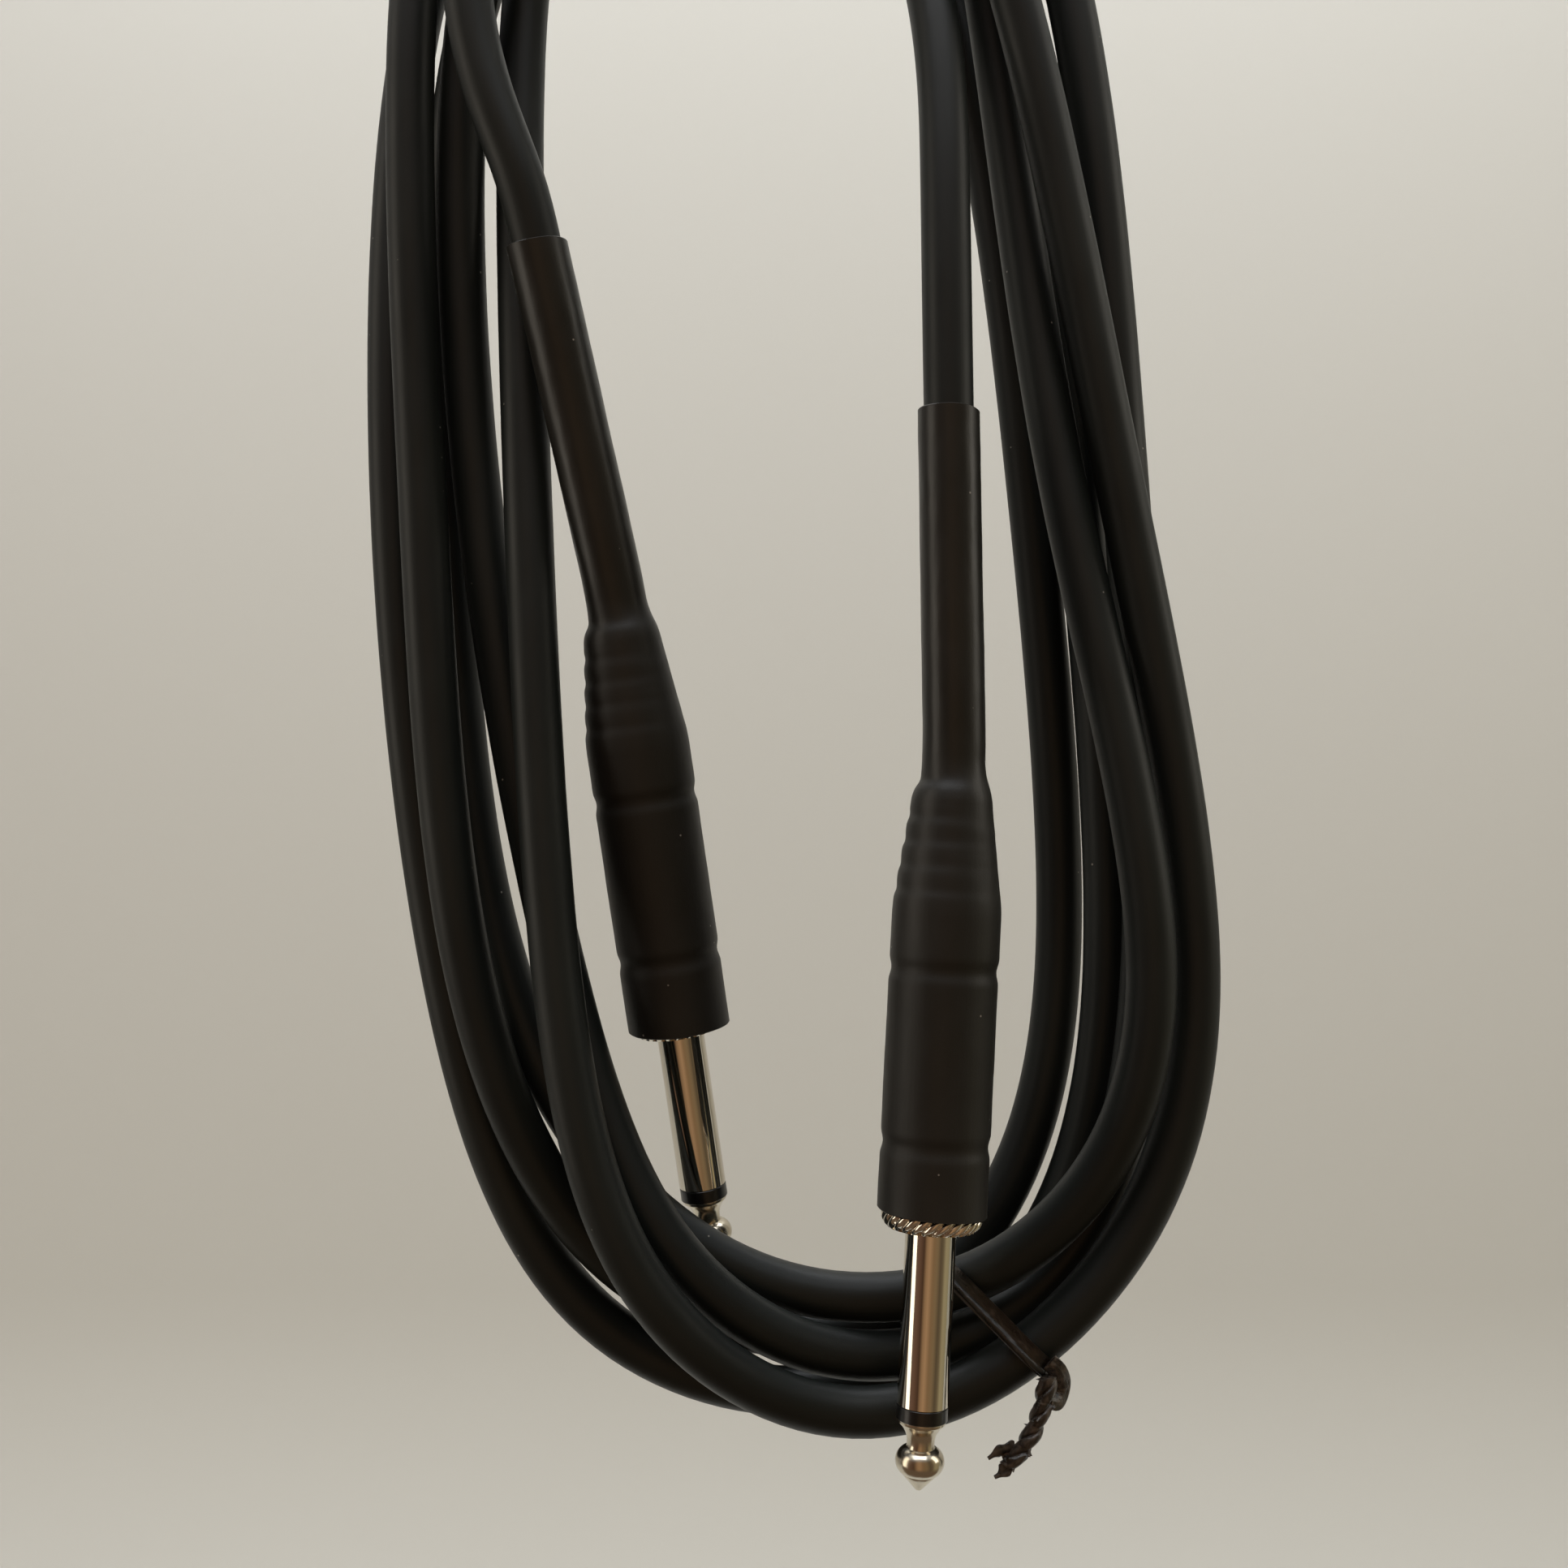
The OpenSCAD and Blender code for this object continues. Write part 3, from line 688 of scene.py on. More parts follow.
def ribbon(name, path):
    """A ribbon on a path in mm, its flat side facing out of the loop that the path makes."""
    walk = []
    for p, q in zip(path, path[1:]):
        count = max(1, round((q - p).length / 0.2))
        walk += [p + (q - p) * k / count for k in range(count)]
    points, marks = spaced(walk, 0.5)
    frames = []
    for i, point in enumerate(points):
        ahead = (points[min(i + 1, len(points) - 1)] - points[max(i - 1, 0)]).normalized()
        out = ahead.cross(TIE_ACROSS).normalized()
        at = Matrix((out, TIE_ACROSS, out.cross(TIE_ACROSS))).transposed().to_4x4()
        at.translation = point * MM
        frames.append(at)
    print(name, round(marks[-1]), "mm")
    return loft(name, frames, [ribbon_section(m) for m in marks], marks)


band_angles = [BAND_START + tau * k / BAND_STEPS for k in range(BAND_STEPS + 1)]
band = ribbon("tie_band", [ribbon_point(a, TIE_WIRE / 2 + TIE_FILM) for a in band_angles])

# %% [markdown]
# ## The tie's tail
#
# Each half turn of the two ends gives a lump with a sharp crease after it. Two ribbons could be
# wound round each other, but they would cut through each other where fingers squeezed them. One
# section does for both ends: two fat lobes that turn as the tail goes down. Where a film was folded
# over, its edge stands out as a small torn point.

# %% Tie tail
TIE_END_D = 1.3
TAIL_LEN = 13.5
TAIL_SLOPE = radians(27)
TAIL_BOW = 1.3
LUMP = 3.0
FIN = 0.6
FIN_EVERY = 1.55
TAIL_SIDES = 40
TAIL_STEP = 0.16
tail_from = in_tie_plane(*[c + (CABLE_D / 2 + TIE_GAP + TIE_END_D) * w
                           for c, w in zip(strands[0], (cos(TAIL_SIDE), -sin(TAIL_SIDE)))])
tail_way = Vector((-sin(TAIL_SLOPE), 0, -cos(TAIL_SLOPE)))


def tail_point(s):
    """The tail's middle line: it bows a little and shivers with the twist."""
    bow = Vector((cos(TAIL_SLOPE), 0, -sin(TAIL_SLOPE))) * (TAIL_BOW * sin(pi * s / TAIL_LEN))
    shiver = Vector((0.12 * sin(tau * s / LUMP), 0.12 * cos(tau * s / LUMP), 0))
    return tail_from + Vector((-0.1, 0, -0.5)) + tail_way * s + bow + shiver


def tail_section(s):
    turn = pi * s / LUMP
    grow = 1.08 - 0.12 * s / TAIL_LEN + 0.06 * noise.noise(Vector((s, 0, 0)))
    made = []
    for k in range(TAIL_SIDES):
        a = tau * k / TAIL_SIDES
        r = grow * (0.86 + 0.3 * abs(cos(a - turn)) - 0.3 * exp(-(sin(a - turn - pi / 2) / 0.2) ** 2))
        # A film's edge: a thin fin just behind the crease, torn into points.
        fin = exp(-((sin(a - turn - 1.1)) / 0.16) ** 2) * (cos(a - turn - 1.1) > 0)
        r += FIN * fin * max(0, sin(tau * s / FIN_EVERY)) ** 2
        r += 0.05 * noise.noise(Vector((2 * cos(a), 2 * sin(a), s * 1.7)))
        made.append((r * cos(a), r * sin(a)))
    return made


tail_marks = [TAIL_STEP * k for k in range(ceil((TAIL_LEN - 1) / TAIL_STEP))]
tail = loft("tie_tail", frames_along([tail_point(m) * MM for m in tail_marks], Vector((0, -1, 0))),
            [tail_section(m) for m in tail_marks], tail_marks, crease=50)
print("tail", len(tail.data.polygons), "faces")

# %% [markdown]
# ## The tie's two ends
#
# At the end the two strips part: one is cut short and stands away, and the other keeps its curl.
# Cloth could crumple them, but a few millimetres of film only need a crease. Each is a creased strip
# on a bent path that narrows to a point.

# %% Tie ends
END_STEPS = 24
END_SIDES = 16


def strip_end(name, points, widths, side):
    """A creased strip on a bent path, which narrows to torn points."""
    middle, sections = [], []
    a, b, c = points
    for k in range(END_STEPS + 1):
        t = k / END_STEPS
        middle.append((a * (1 - t) ** 2 + b * 2 * t * (1 - t) + c * t * t) * MM)
        taper = 0.25 + 0.75 * min(1, (1 - t) * 2.6) ** 0.7
        w = (widths[0] + (widths[1] - widths[0]) * t) * taper + 0.14 * sin(13 * t)
        section = []
        for j in range(END_SIDES):
            a_j = tau * j / END_SIDES
            fold = 0.35 * w * abs(cos(a_j)) ** 1.5 * (1 - 0.5 * t)
            section.append((w * cos(a_j), 0.22 * sin(a_j) + fold))
        sections.append(section)
    return loft(name, frames_along(middle, side), sections,
                [4 * k / END_STEPS for k in range(END_STEPS + 1)], crease=50)


tail_end = tail_point(TAIL_LEN - 1.6)
torn_path = [tail_end + Vector(p) for p in ((0.5, 0.1, 1.7), (-0.9, -0.7, 2.1), (-2.7, -0.8, 0.9))]
torn = strip_end("tie_end_torn", torn_path, (1.0, 0.75), Vector((0.2, -0.3, 1)))
curled_path = [tail_end + Vector(p) for p in ((0.2, -0.2, 1.4), (0.1, -0.3, -0.7), (-1.9, -0.5, -1.5))]
curled = strip_end("tie_end_curled", curled_path, (0.95, 0.7), Vector((1, -0.4, -0.6)))
print("ends", len(torn.data.polygons), "faces each")

# %% [markdown]
# ## The leg behind
#
# One end comes round from the back of the strands and folds over at the corner before it joins the
# twist, so a small bight of ribbon stands out at the side of the tail. Its line goes through six
# points. A B-spline would pass beside them, so this one is a Catmull-Rom line, which hits each one.

# %% Tie bight
BIGHT = [(0.1, 0.1, 1.2), (1.2, 0.2, 0.1), (1.9, 1.2, -1.6),
         (1.8, 1.5, -3.0), (1.1, 0.8, -3.8), (0.1, 0.2, -3.5)]
BIGHT_HALF_W = 1.15
BIGHT_SIDES = 20


def smooth_through(points, steps):
    """A Catmull-Rom line through the points."""
    ends = [points[0] * 2 - points[1]] + points + [points[-1] * 2 - points[-2]]
    made = []
    for a, b, c, d in zip(ends, ends[1:], ends[2:], ends[3:]):
        for k in range(steps):
            t = k / steps
            square = (2 * a - 5 * b + 4 * c - d) * t**2
            made.append(0.5 * (2 * b + (c - a) * t + square + (3 * b - a - 3 * c + d) * t**3))
    return made + [points[-1]]


def bight_section():
    """A flat strip with the wire's thickness along its middle."""
    angles = [tau * j / BIGHT_SIDES for j in range(BIGHT_SIDES)]
    return [(BIGHT_HALF_W * cos(a), (0.26 + 0.2 * exp(-(cos(a) / 0.4) ** 2)) * sin(a)) for a in angles]


bight_line = smooth_through([tail_from + Vector(p) for p in BIGHT], 9)
bight = loft("tie_bight", frames_along([p * MM for p in bight_line], TIE_ACROSS.copy()),
             [bight_section() for _ in bight_line], [0.3 * k for k in range(len(bight_line))], crease=60)

tie_pieces = [band, tail, torn, curled, bight]
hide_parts("tie_cover")
for piece in tie_pieces:
    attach(piece, "root")
print("tie", sum(len(piece.data.polygons) for piece in tie_pieces), "faces")

# %% [markdown]
# ## Tools for finishes
#
# A finish starts from what the real surface is. One function turns the sRGB colours that people
# write into the linear ones that Blender mixes. One adds a node, with its settings and links. A
# pattern's size is a real size: its coordinates are divided by it, so one unit is one grain. An
# image could carry a pattern too, but these need no file, no seam and no unwrapped mesh.

# %% Material tools


def hex_colour(text):
    """An sRGB hex colour as the linear colour that a socket takes."""
    parts = [int(text[i:i + 2], 16) / 255 for i in (1, 3, 5)]
    return tuple(v / 12.92 if v <= 0.04045 else ((v + 0.055) / 1.055) ** 2.4 for v in parts) + (1,)


def add(tree, kind, sockets=None, **settings):
    """Adds a shader node; a socket takes a value or another node's output."""
    made = tree.nodes.new("ShaderNode" + kind)
    for name, value in settings.items():
        setattr(made, name, value)
    for name, value in (sockets or {}).items():
        if isinstance(value, bpy.types.NodeSocket):
            tree.links.new(value, made.inputs[name])
        else:
            made.inputs[name].default_value = value
    return made


def new_material(name, colour, roughness, metallic=0.0, **sockets):
    """A material with its Principled shader set; gives the material, its nodes and the shader."""
    made = bpy.data.materials.new(name)
    made.use_nodes = True
    shader = made.node_tree.nodes["Principled BSDF"]
    values = {"Base Color": hex_colour(colour), "Roughness": roughness, "Metallic": metallic}
    for socket, value in {**values, **sockets}.items():
        shader.inputs[socket].default_value = value
    return made, made.node_tree, shader


def grains(tree, size, straight=True):
    """Coordinates whose unit is a size in mm on each axis, along the straightened piece or in space."""
    if straight:
        place = add(tree, "Attribute", attribute_name=STRAIGHT).outputs["Vector"]
    else:
        place = add(tree, "TexCoord").outputs["Object"]
    unit = 1 if straight else MM
    scale = tuple(1 / (s * unit) for s in size)
    return add(tree, "VectorMath", {0: place, 1: scale}, operation="MULTIPLY").outputs["Vector"]


def two_tones(tree, pattern, share, dark, light):
    """The dark colour where a pattern is below a share's start, and the light one past its end."""
    paler = add(tree, "MapRange", {"Value": pattern, "From Min": share[0], "From Max": share[1]})
    tones = {0: paler.outputs["Result"], 6: hex_colour(dark), 7: hex_colour(light)}
    return add(tree, "Mix", tones, data_type="RGBA").outputs[2]


def dress(material, *pieces):
    for piece in pieces:
        if not piece.material_slots:
            piece.data.materials.append(material)
        for slot in piece.material_slots:
            slot.material = material
    print(material.name, "on", *[piece.name for piece in pieces])


def cad(kind):
    """A CAD piece of each plug."""
    return [nodes[f"{kind}_{side}"] for side in PLUGS]


# %% [markdown]
# ## Black plastics
#
# Two blacks lie side by side here and must not look alike. Both are a little cloudy, have faint
# streaks from the die that they were drawn through, and carry a few specks of dust. The streaks and
# the grain are relief, a hundredth of a millimetre deep, and not colour, because they only show where
# light grazes them. The real grain is finer than a pixel, so it is drawn 0.16 to 0.2 mm wide.

# %% Black plastic
DUST_CELL = 2.2
DUST_SHARE = 0.13


def dust(tree):
    """How dusty a place is: the middles of a few cells of a Voronoi pattern."""
    cells = add(tree, "TexVoronoi", {"Vector": grains(tree, (DUST_CELL,) * 3), "Scale": 1.0})
    speck = add(tree, "MapRange", {"Value": cells.outputs["Distance"], "From Min": 0.04, "From Max": 0.08,
                                   "To Min": 1.0, "To Max": 0.0})
    tint = add(tree, "SeparateColor", {"Color": cells.outputs["Color"]})
    chosen = add(tree, "MapRange", {"Value": tint.outputs["Red"], "From Min": 1 - DUST_SHARE,
                                    "From Max": 1.01 - DUST_SHARE})
    both_true = {0: speck.outputs["Result"], 1: chosen.outputs["Result"]}
    return add(tree, "Math", both_true, operation="MULTIPLY").outputs[0]


def black_plastic(name, dark, light, dust_colour, grain, relief, **sockets):
    """A cloudy, dusty black; gives the material, its nodes, the shader and how worn a place is."""
    made, tree, shader = new_material(name, dark, 0.5, **sockets)
    cloud = add(tree, "TexNoise", {"Vector": grains(tree, (9, 9, 22)), "Scale": 1.0, "Detail": 3.0})
    body = two_tones(tree, cloud.outputs["Fac"], (0.35, 0.7), dark, light)
    dusty = add(tree, "Mix", {0: dust(tree), 6: body, 7: hex_colour(dust_colour)}, data_type="RGBA")
    tree.links.new(dusty.outputs[2], shader.inputs["Base Color"])
    fine = add(tree, "TexNoise", {"Vector": grains(tree, (grain,) * 3), "Scale": 1.0, "Detail": 2.0})
    streak = add(tree, "TexNoise", {"Vector": grains(tree, (0.6, 0.6, 30)), "Scale": 1.0, "Detail": 1.0})
    height = add(tree, "Math", {0: fine.outputs["Fac"], 1: streak.outputs["Fac"]}, operation="ADD")
    bump = add(tree, "Bump", {"Height": height.outputs[0], "Distance": relief * MM, "Strength": 1.0})
    tree.links.new(bump.outputs["Normal"], shader.inputs["Normal"])
    handled = add(tree, "TexNoise", {"Vector": grains(tree, (3, 3, 9)), "Scale": 1.0, "Detail": 3.0})
    worn = add(tree, "MapRange", {"Value": handled.outputs["Fac"], "From Min": 0.3, "From Max": 0.7,
                                  "To Min": -0.04, "To Max": 0.04})
    return made, tree, shader, worn.outputs["Result"]


# %% Jacket
# Extruded plasticised PVC: a deep black, satin, that gives each strand one soft line of light.
jacket_pvc, tree, shader, worn = black_plastic(
    "soft_pvc_jacket", "#141817", "#1c201e", "#8a8780", 0.16, 0.01,
    **{"IOR": 1.53, "Specular IOR Level": 0.26})
rough = add(tree, "Math", {0: worn, 1: 0.47}, operation="ADD")
tree.links.new(rough.outputs[0], shader.inputs["Roughness"])
dress(jacket_pvc, cable, *cad("cable_end"))

# %% Sleeving film
# Heat-shrunk polyolefin: a warmer black. It is matt over the barrel and glossier where it grips the
# cable, because it is pulled tight there.
MATT, GLOSSY = 0.5, 0.36
sleeving_polyolefin, tree, shader, worn = black_plastic(
    "shrunk_polyolefin", "#191916", "#22211e", "#8d8982", 0.2, 0.012,
    **{"IOR": 1.5, "Specular IOR Level": 0.36})
height = add(tree, "SeparateXYZ", {"Vector": grains(tree, (1, 1, 1))})
tighter = add(tree, "MapRange", {"Value": height.outputs["Z"], "From Min": TAIL_TOP - 6,
                                 "From Max": TAIL_TOP + 8, "To Min": MATT, "To Max": GLOSSY})
rough = add(tree, "Math", {0: worn, 1: tighter.outputs["Result"]}, operation="ADD")
tree.links.new(rough.outputs[0], shader.inputs["Roughness"])
dress(sleeving_polyolefin, *sleevings)

# %% [markdown]
# ## Nylon and the tie's film
#
# The ring is turned from nylon rod, so fine tool marks run round it. The tie's film is a thin glossy
# PVC. Where it was folded and twisted it has gone pale with stress. One material could ask how bent
# a place is; here the band and the tail simply get a finish each, and the tail's is the paler one:
# its pale patches are stress and also a painted highlight, standing in for the light on its lumps.

# %% Nylon
# Turned nylon: a smooth black with a clear, narrow shine.
nylon, tree, shader = new_material("black_nylon", "#0c0c0d", 0.28, IOR=1.53)
turning = add(tree, "TexNoise", {"Vector": grains(tree, (8, 8, 0.08)), "Scale": 1.0, "Detail": 1.0})
bump = add(tree, "Bump", {"Height": turning.outputs["Fac"], "Distance": 0.004 * MM, "Strength": 1.0})
tree.links.new(bump.outputs["Normal"], shader.inputs["Normal"])
dress(nylon, *insulators)

# %% Tie film


def tie_film(name, dark, pale, share, relief):
    """Calendered PVC film: glossy and creased, pale in patches of stress; on the tail these patches are
    also a painted highlight.
    """
    made, tree, shader = new_material(name, dark, 0.3, IOR=1.53)
    # The pale patches: stress whitening, and on the tail also a painted highlight.
    stress_and_sheen = add(tree, "TexNoise", {"Vector": grains(tree, (0.7, 0.7, 1.2)), "Scale": 1.0, "Detail": 3.0})
    tree.links.new(two_tones(tree, stress_and_sheen.outputs["Fac"], share, dark, pale), shader.inputs["Base Color"])
    rough = add(tree, "MapRange", {"Value": stress_and_sheen.outputs["Fac"], "From Min": 0.3, "From Max": 0.7,
                                   "To Min": 0.24, "To Max": 0.42})
    tree.links.new(rough.outputs["Result"], shader.inputs["Roughness"])
    folded = grains(tree, (0.35, 0.35, 0.9))
    creases = add(tree, "TexNoise", {"Vector": folded, "Scale": 1.0, "Detail": 3.0})
    bump = add(tree, "Bump", {"Height": creases.outputs["Fac"], "Distance": relief * MM, "Strength": 1.0})
    tree.links.new(bump.outputs["Normal"], shader.inputs["Normal"])
    return made


dress(tie_film("glossy_tie_pvc", "#131210", "#37302a", (0.56, 0.72), 0.06), band)
# The tail's paler film: its pale patches are partly stress and partly a painted highlight.
dress(tie_film("stressed_tie_pvc_painted_sheen", "#1c1815", "#4a4139", (0.4, 0.62), 0.09), tail, torn, curled, bight)

# %% [markdown]
# ## Metals
#
# Every metal here is the same recipe: a colour for the metal, a roughness that changes over a few
# millimetres with wear, and a fine relief. Where the relief is longer one way it is hairlines, and
# their direction says how the piece was made or used. An anisotropic shader could smear the
# reflections too, but relief is the real cause and looks right from near by. Metals keep Blender's
# own IOR.

# %% Metal


def metal(name, colour, roughness, straight, hairline, relief):
    """A metal with a range of roughness, and a relief with a size and a depth in mm."""
    made, tree, shader = new_material(name, colour, roughness[0], metallic=1.0)
    drawn, rubbed = grains(tree, hairline, straight), grains(tree, (2.5, 2.5, 4), straight)
    lines = add(tree, "TexNoise", {"Vector": drawn, "Scale": 1.0, "Detail": 2.0})
    worn = add(tree, "TexNoise", {"Vector": rubbed, "Scale": 1.0, "Detail": 3.0})
    rough = add(tree, "MapRange", {"Value": worn.outputs["Fac"], "From Min": 0.35, "From Max": 0.75,
                                   "To Min": roughness[0], "To Max": roughness[1]})
    tree.links.new(rough.outputs["Result"], shader.inputs["Roughness"])
    bump = add(tree, "Bump", {"Height": lines.outputs["Fac"], "Distance": relief * MM, "Strength": 1.0})
    tree.links.new(bump.outputs["Normal"], shader.inputs["Normal"])
    return made


# %% Nickel
# Bright nickel plate on turned brass: a mirror with a faint warm tint. Pushing the plug into a jack
# draws hairlines along the shaft.
dress(metal("nickel_plate", "#d6cfc1", (0.05, 0.12), True, (0.12, 0.12, 6), 0.0006), *sleeves)
# The tip is rubbed by the jack's spring: the same nickel, duller, with the lathe's lines round it.
dress(metal("worn_nickel_plate", "#c9c0ae", (0.16, 0.26), True, (0.3, 0.3, 0.12), 0.0012), *tips)
# The barrel was barrel-plated in bulk and sits under the sleeving: satin all over.
dress(metal("nickel_plate_barrel", "#d9d2c4", (0.12, 0.2), False, (0.3, 0.3, 0.3), 0.001), *cad("barrel"))

# %% Lugs, solder and wire
# Tinned brass strip: grey and softly dull, with no direction.
dress(metal("tinned_brass", "#c3c4c2", (0.3, 0.42), False, (0.4, 0.4, 0.4), 0.004),
      *cad("tip_lug"), *cad("ground_lug"))
# Solder that froze in a drop: bright, with soft hollows a millimetre across.
dress(metal("tin_lead_solder", "#bfc1c3", (0.18, 0.3), False, (1.2, 1.2, 1.2), 0.02),
      *cad("solder_tip"), *cad("solder_ground"))
# Fine drawn copper strands, twisted: a salmon red, with ridges that run along.
dress(metal("drawn_copper", "#c67a4c", (0.25, 0.35), False, (0.15, 0.15, 0.6), 0.02), *cad("pigtail"))
# Galvanised wire in the tie: dull grey zinc.
dress(metal("galvanised_wire", "#a9abad", (0.3, 0.4), False, (0.1, 0.1, 0.4), 0.004), nodes["tie_wire"])

# %% [markdown]
# ## Inner insulators
#
# They are hidden when the plug is closed: a hard fibre washer, a milky polypropylene liner and the
# foamed polyethylene round the conductor. They still get a finish, for views of the plug apart. One
# recipe of soft spots does for all three: they differ in colour, dullness and the spots' size.

# %% Inner insulators


def insulator(name, dark, light, roughness, size):
    """A pale insulator, mottled in spots of a size in mm, with a slightly uneven skin."""
    made, tree, shader = new_material(name, dark, roughness, IOR=1.49)
    pores = grains(tree, (size,) * 3, straight=False)
    spots = add(tree, "TexNoise", {"Vector": pores, "Scale": 1.0, "Detail": 4.0})
    mottled = two_tones(tree, spots.outputs["Fac"], (0.35, 0.65), dark, light)
    tree.links.new(mottled, shader.inputs["Base Color"])
    bump = add(tree, "Bump", {"Height": spots.outputs["Fac"], "Distance": 0.02 * MM, "Strength": 1.0})
    tree.links.new(bump.outputs["Normal"], shader.inputs["Normal"])
    return made


# Punched vulcanised fibre: red-brown and matt, with the paper's fibres in it.
dress(insulator("vulcanised_fibre", "#7a3f20", "#94552d", 0.6, 0.5), *cad("washer"))
# Extruded polypropylene: a milky white with a waxy shine.
dress(insulator("polypropylene_liner", "#d5d5cf", "#dedfda", 0.4, 2), *cad("liner"))
# Foamed polyethylene: a warmer white with fine pores.
dress(insulator("foamed_polyethylene", "#e2e1dc", "#ecebe7", 0.45, 0.6), *cad("core"))

# %% [markdown]
# ## The backdrop
#
# A pale paper sweep hangs behind: a floor well under the cable that curves up into a wall. With no
# corner between them, the paper shows no line behind the loops. A plane and a bevel would do it
# too; here the curve is a quarter circle in the profile.

# %% Sweep
SWEEP_W = 3.2
SWEEP_FRONT = 0.1
SWEEP_TOP = 1.6
FLOOR_Z = -0.62
WALL_Y = 0.62
COVE = 0.25
COVE_STEPS = 16


def make_sweep():
    profile = [(SWEEP_FRONT, FLOOR_Z), (WALL_Y - COVE, FLOOR_Z)]
    for k in range(1, COVE_STEPS + 1):
        a = pi / 2 * k / COVE_STEPS
        profile.append((WALL_Y - COVE + COVE * sin(a), FLOOR_Z + COVE * (1 - cos(a))))
    profile.append((WALL_Y, SWEEP_TOP))
    points = [(side * SWEEP_W / 2, y, z) for y, z in profile for side in (-1, 1)]
    faces = [(2 * k, 2 * k + 1, 2 * k + 3, 2 * k + 2) for k in range(len(profile) - 1)]
    made = new_piece("sweep", points, faces)
    made.data.polygons.foreach_set("use_smooth", [True] * len(faces))
    return made


sweep = make_sweep()
# Uncoated backdrop paper: matt and even, so it shows light and nothing else.
paper, tree, shader = new_material("matte_backdrop_paper", "#cacac3", 0.9)
dress(paper, sweep)

# %% [markdown]
# ## The lamps
#
# Glossy black shows a lamp's own shape, so point lamps would leave dots on it and soft boxes leave
# clean bands. A tall narrow one at the left gives every strand its thin light line, one at the right
# lifts the far edges, and one over the object does what a ceiling lamp does. The last one lights
# the wall. A lamp's strength is given as the radiance of its face, because that is what black
# plastic and nickel show of it, whatever its size.

# %% Soft boxes
MIDDLE = (CAD_BOX[0] + CAD_BOX[1]) / 2
WALL_MIDDLE = Vector((0, WALL_Y, -0.1))


def soft_box(name, azimuth, distance, rise, size, radiance, colour, target=MIDDLE):
    """An area light round its target: azimuth 0 is the camera's side, and positive is right."""
    lamp = bpy.data.lights.new(name, "AREA")
    lamp.shape = "RECTANGLE"
    lamp.size, lamp.size_y = size
    # A flat lamp of one watt and one square metre glows with a radiance of 1 / pi.
    lamp.energy = radiance * pi * size[0] * size[1]
    lamp.color = hex_colour(colour)[:3]
    made = bpy.data.objects.new(name, lamp)
    a = radians(azimuth)
    made.location = target + Vector((distance * sin(a), -distance * cos(a), rise))
    made.rotation_euler = (made.location - target).to_track_quat("Z", "Y").to_euler()
    bpy.context.scene.collection.objects.link(made)
    print(name, round(lamp.energy, 1), "W")


soft_box("window_left", -76, 0.9, 0.12, (0.34, 1.1), 2.2, "#fff6e6")
soft_box("window_right", 86, 0.9, 0.36, (0.36, 0.7), 2.2, "#fff8ee")
soft_box("overhead", 0, 0.42, 0.95, (1.1, 0.6), 2.4, "#f6f9ff")
soft_box("wall_wash", 0, 0.35, 1.05, (1.6, 0.5), 4.6, "#f6f9ff", target=WALL_MIDDLE)

# %% [markdown]
# ## What the nickel mirrors
#
# Polished nickel has almost no colour of its own and shows the room in front of it. A world of one
# pale tone would leave it blank. A picture of a room, wrapped round the world, is the usual answer,
# but it needs a file. So a dome-shaped screen, painted in the warm tones of furniture and a wooden
# floor, stands round the camera's side. Only the camera doesn't see it, so the views from behind
# have a plain pale background. The painting is a colour ramp round the dome. Most of its tones were
# worked out backwards, from what a nickel shaft shows to what would have to stand in front of it.

# %% Painted screen
SCREEN_R = 2.4
SCREEN_SPREAD = 118
SCREEN_ROWS = (-88, 53)
SCREEN_STEP = 4


def make_screen():
    """Part of a dome, in rows from low to high; azimuth 0 is the camera's side."""
    columns = range(-SCREEN_SPREAD, SCREEN_SPREAD + 1, SCREEN_STEP)
    rows = range(*SCREEN_ROWS, SCREEN_STEP)
    points = []
    for row in rows:
        for column in columns:
            a, e = radians(column), radians(row)
            points.append((SCREEN_R * sin(a) * cos(e), -SCREEN_R * cos(a) * cos(e), SCREEN_R * sin(e)))
    wide = len(columns)
    faces = [(i, i + 1, i + wide + 1, i + wide) for r in range(len(rows) - 1)
             for i in range(r * wide, r * wide + wide - 1)]
    return new_piece("screen", points, faces)


screen = make_screen()
screen.visible_camera = False
print("screen", len(screen.data.polygons), "faces")

# %% Room paint
# Azimuth in degrees and the tone that the room has there.
ROOM = [(-118, "#cfcfcd"), (-97, "#61564a"), (-60, "#73594a"), (-48, "#6b5040"), (-30, "#4f3a2c"),
        (-18, "#9a7a5b"), (-5, "#b08c6a"), (12, "#8b6f51"), (30, "#857054"), (46, "#5f5240"),
        (58, "#70624c"), (72, "#a39676"), (97, "#968e72"), (118, "#cfcfcd")]
WOODEN_FLOOR = "#6d5c4b"
CEILING = "#b9bbbd"


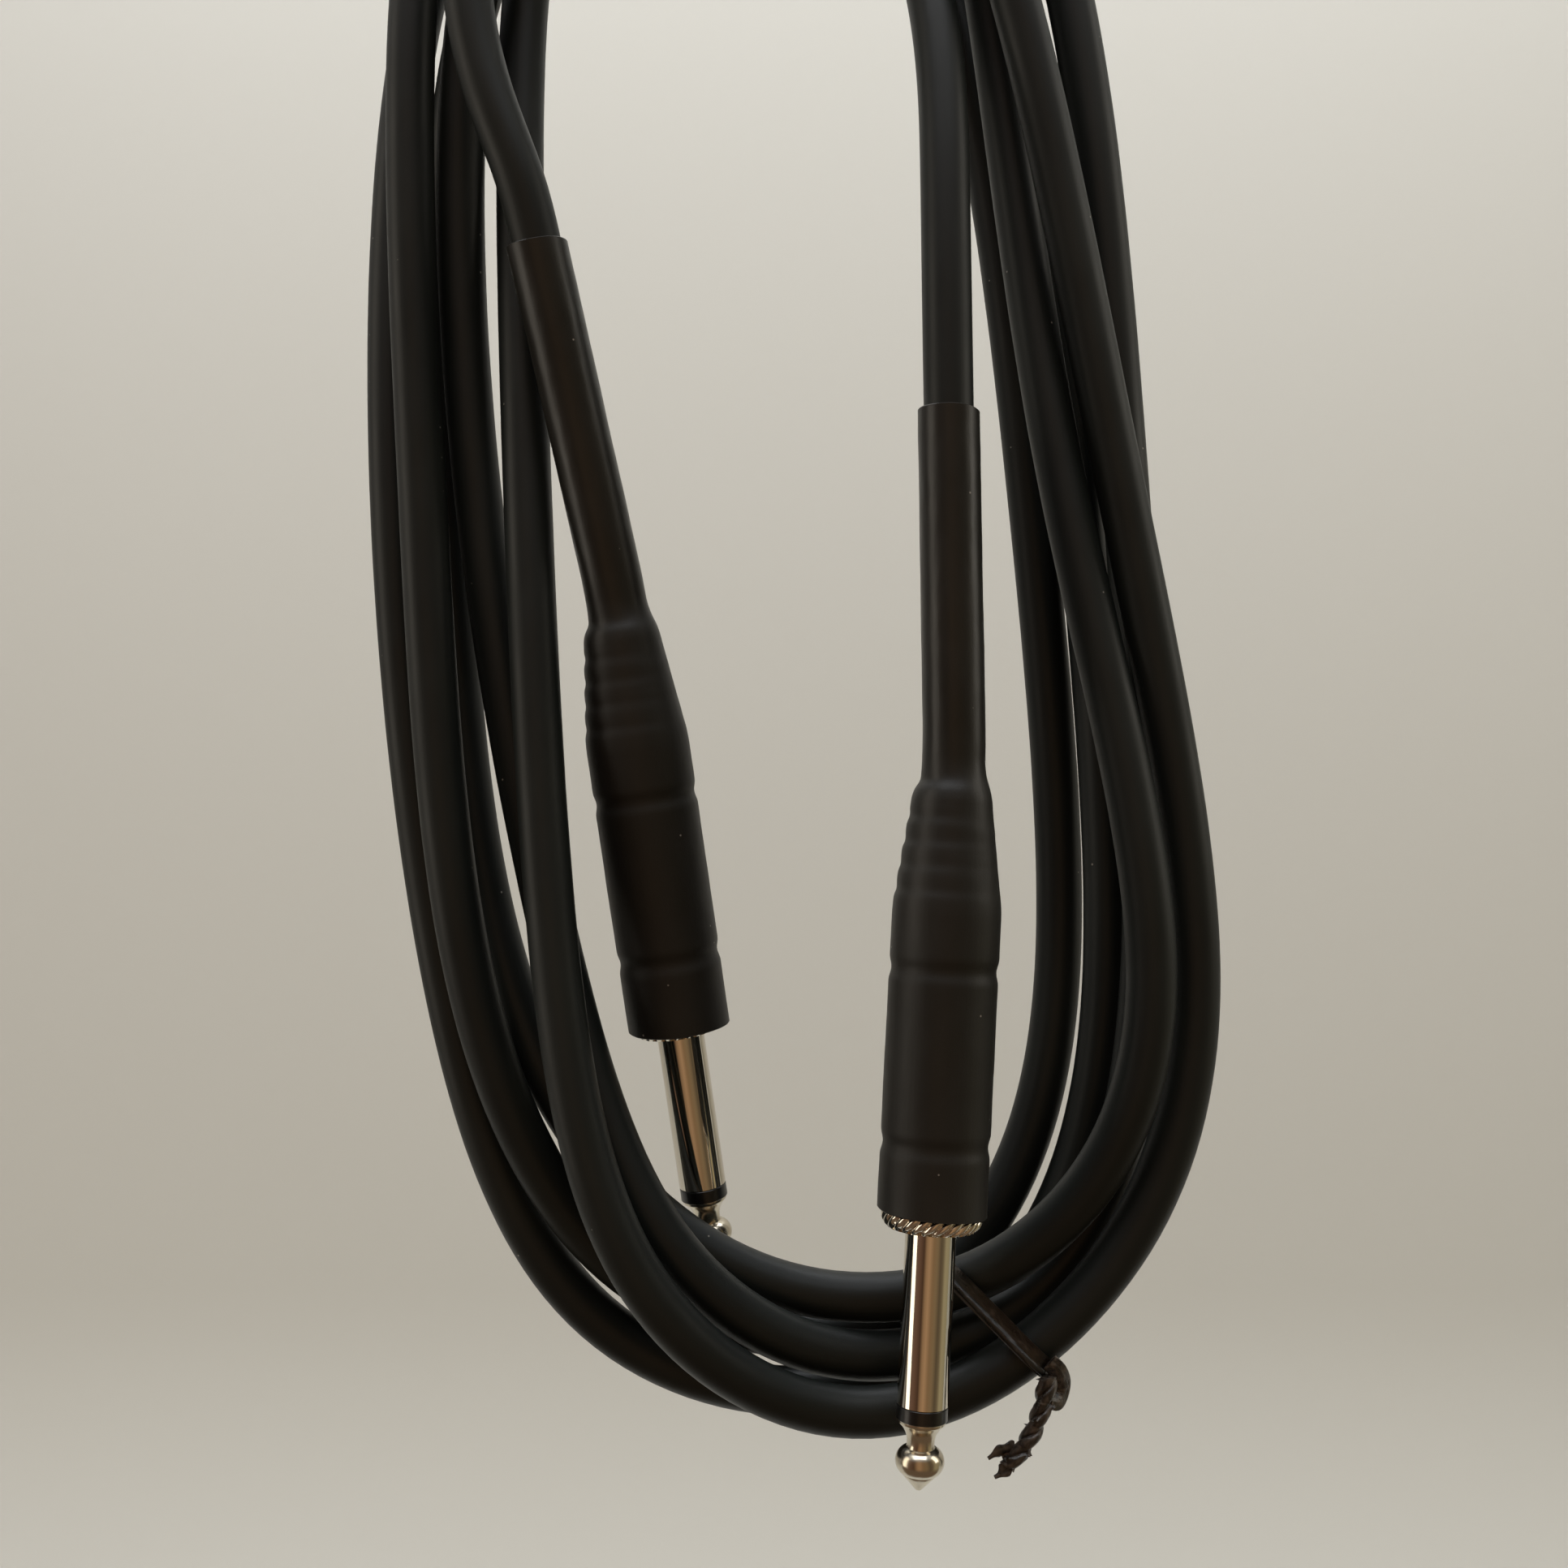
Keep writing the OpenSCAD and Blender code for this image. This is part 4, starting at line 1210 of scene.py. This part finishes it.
def paint_ramp(tree, azimuth):
    """The room's tones round the dome."""
    turn = add(tree, "MapRange", {"Value": azimuth, "From Min": -radians(SCREEN_SPREAD),
                                  "From Max": radians(SCREEN_SPREAD)})
    ramp = add(tree, "ValToRGB", {"Fac": turn.outputs["Result"]})
    stops = ramp.color_ramp.elements
    between_ends = [stops.new(0.5) for _ in ROOM[2:]]
    for stop, (degrees, colour) in zip([stops[0]] + between_ends + [stops[-1]], ROOM):
        stop.position = (degrees + SCREEN_SPREAD) / (2 * SCREEN_SPREAD)
        stop.color = hex_colour(colour)
    return ramp.outputs["Color"]


# A glowing paint, so that the screen looks the same wherever the lamps are.
room_paint = bpy.data.materials.new("painted_screen")
room_paint.use_nodes = True
tree = room_paint.node_tree
way = add(tree, "VectorMath", {0: add(tree, "TexCoord").outputs["Object"]}, operation="NORMALIZE")
way = add(tree, "SeparateXYZ", {"Vector": way.outputs["Vector"]})
toward_camera = add(tree, "Math", {0: way.outputs["Y"], 1: -1.0}, operation="MULTIPLY")
azimuth = add(tree, "Math", {0: way.outputs["X"], 1: toward_camera.outputs[0]}, operation="ARCTAN2")
low = add(tree, "MapRange", {"Value": way.outputs["Z"], "From Min": -0.45, "From Max": -0.7})
high = add(tree, "MapRange", {"Value": way.outputs["Z"], "From Min": 0.45, "From Max": 0.8})
walls = add(tree, "Mix", {0: low.outputs["Result"], 6: paint_ramp(tree, azimuth.outputs[0]),
                          7: hex_colour(WOODEN_FLOOR)}, data_type="RGBA")
room = add(tree, "Mix", {0: high.outputs["Result"], 6: walls.outputs[2], 7: hex_colour(CEILING)},
           data_type="RGBA")
glow = add(tree, "Emission", {"Color": room.outputs[2], "Strength": 1.0})
tree.links.new(glow.outputs["Emission"], tree.nodes["Material Output"].inputs["Surface"])
dress(room_paint, screen)

# %% [markdown]
# ## The world
#
# Past the sweep and the screen there is only a plain pale tone, close to the paper's. It is what
# the views from behind and from the side have as their background. A sky would tint the plastics.

# %% World
world = bpy.data.worlds.new("pale_room")
bpy.context.scene.world = world
world.use_nodes = True
background = world.node_tree.nodes["Background"]
background.inputs["Color"].default_value = hex_colour("#c6c5c0")
background.inputs["Strength"].default_value = 1.0
print("world", world.name)
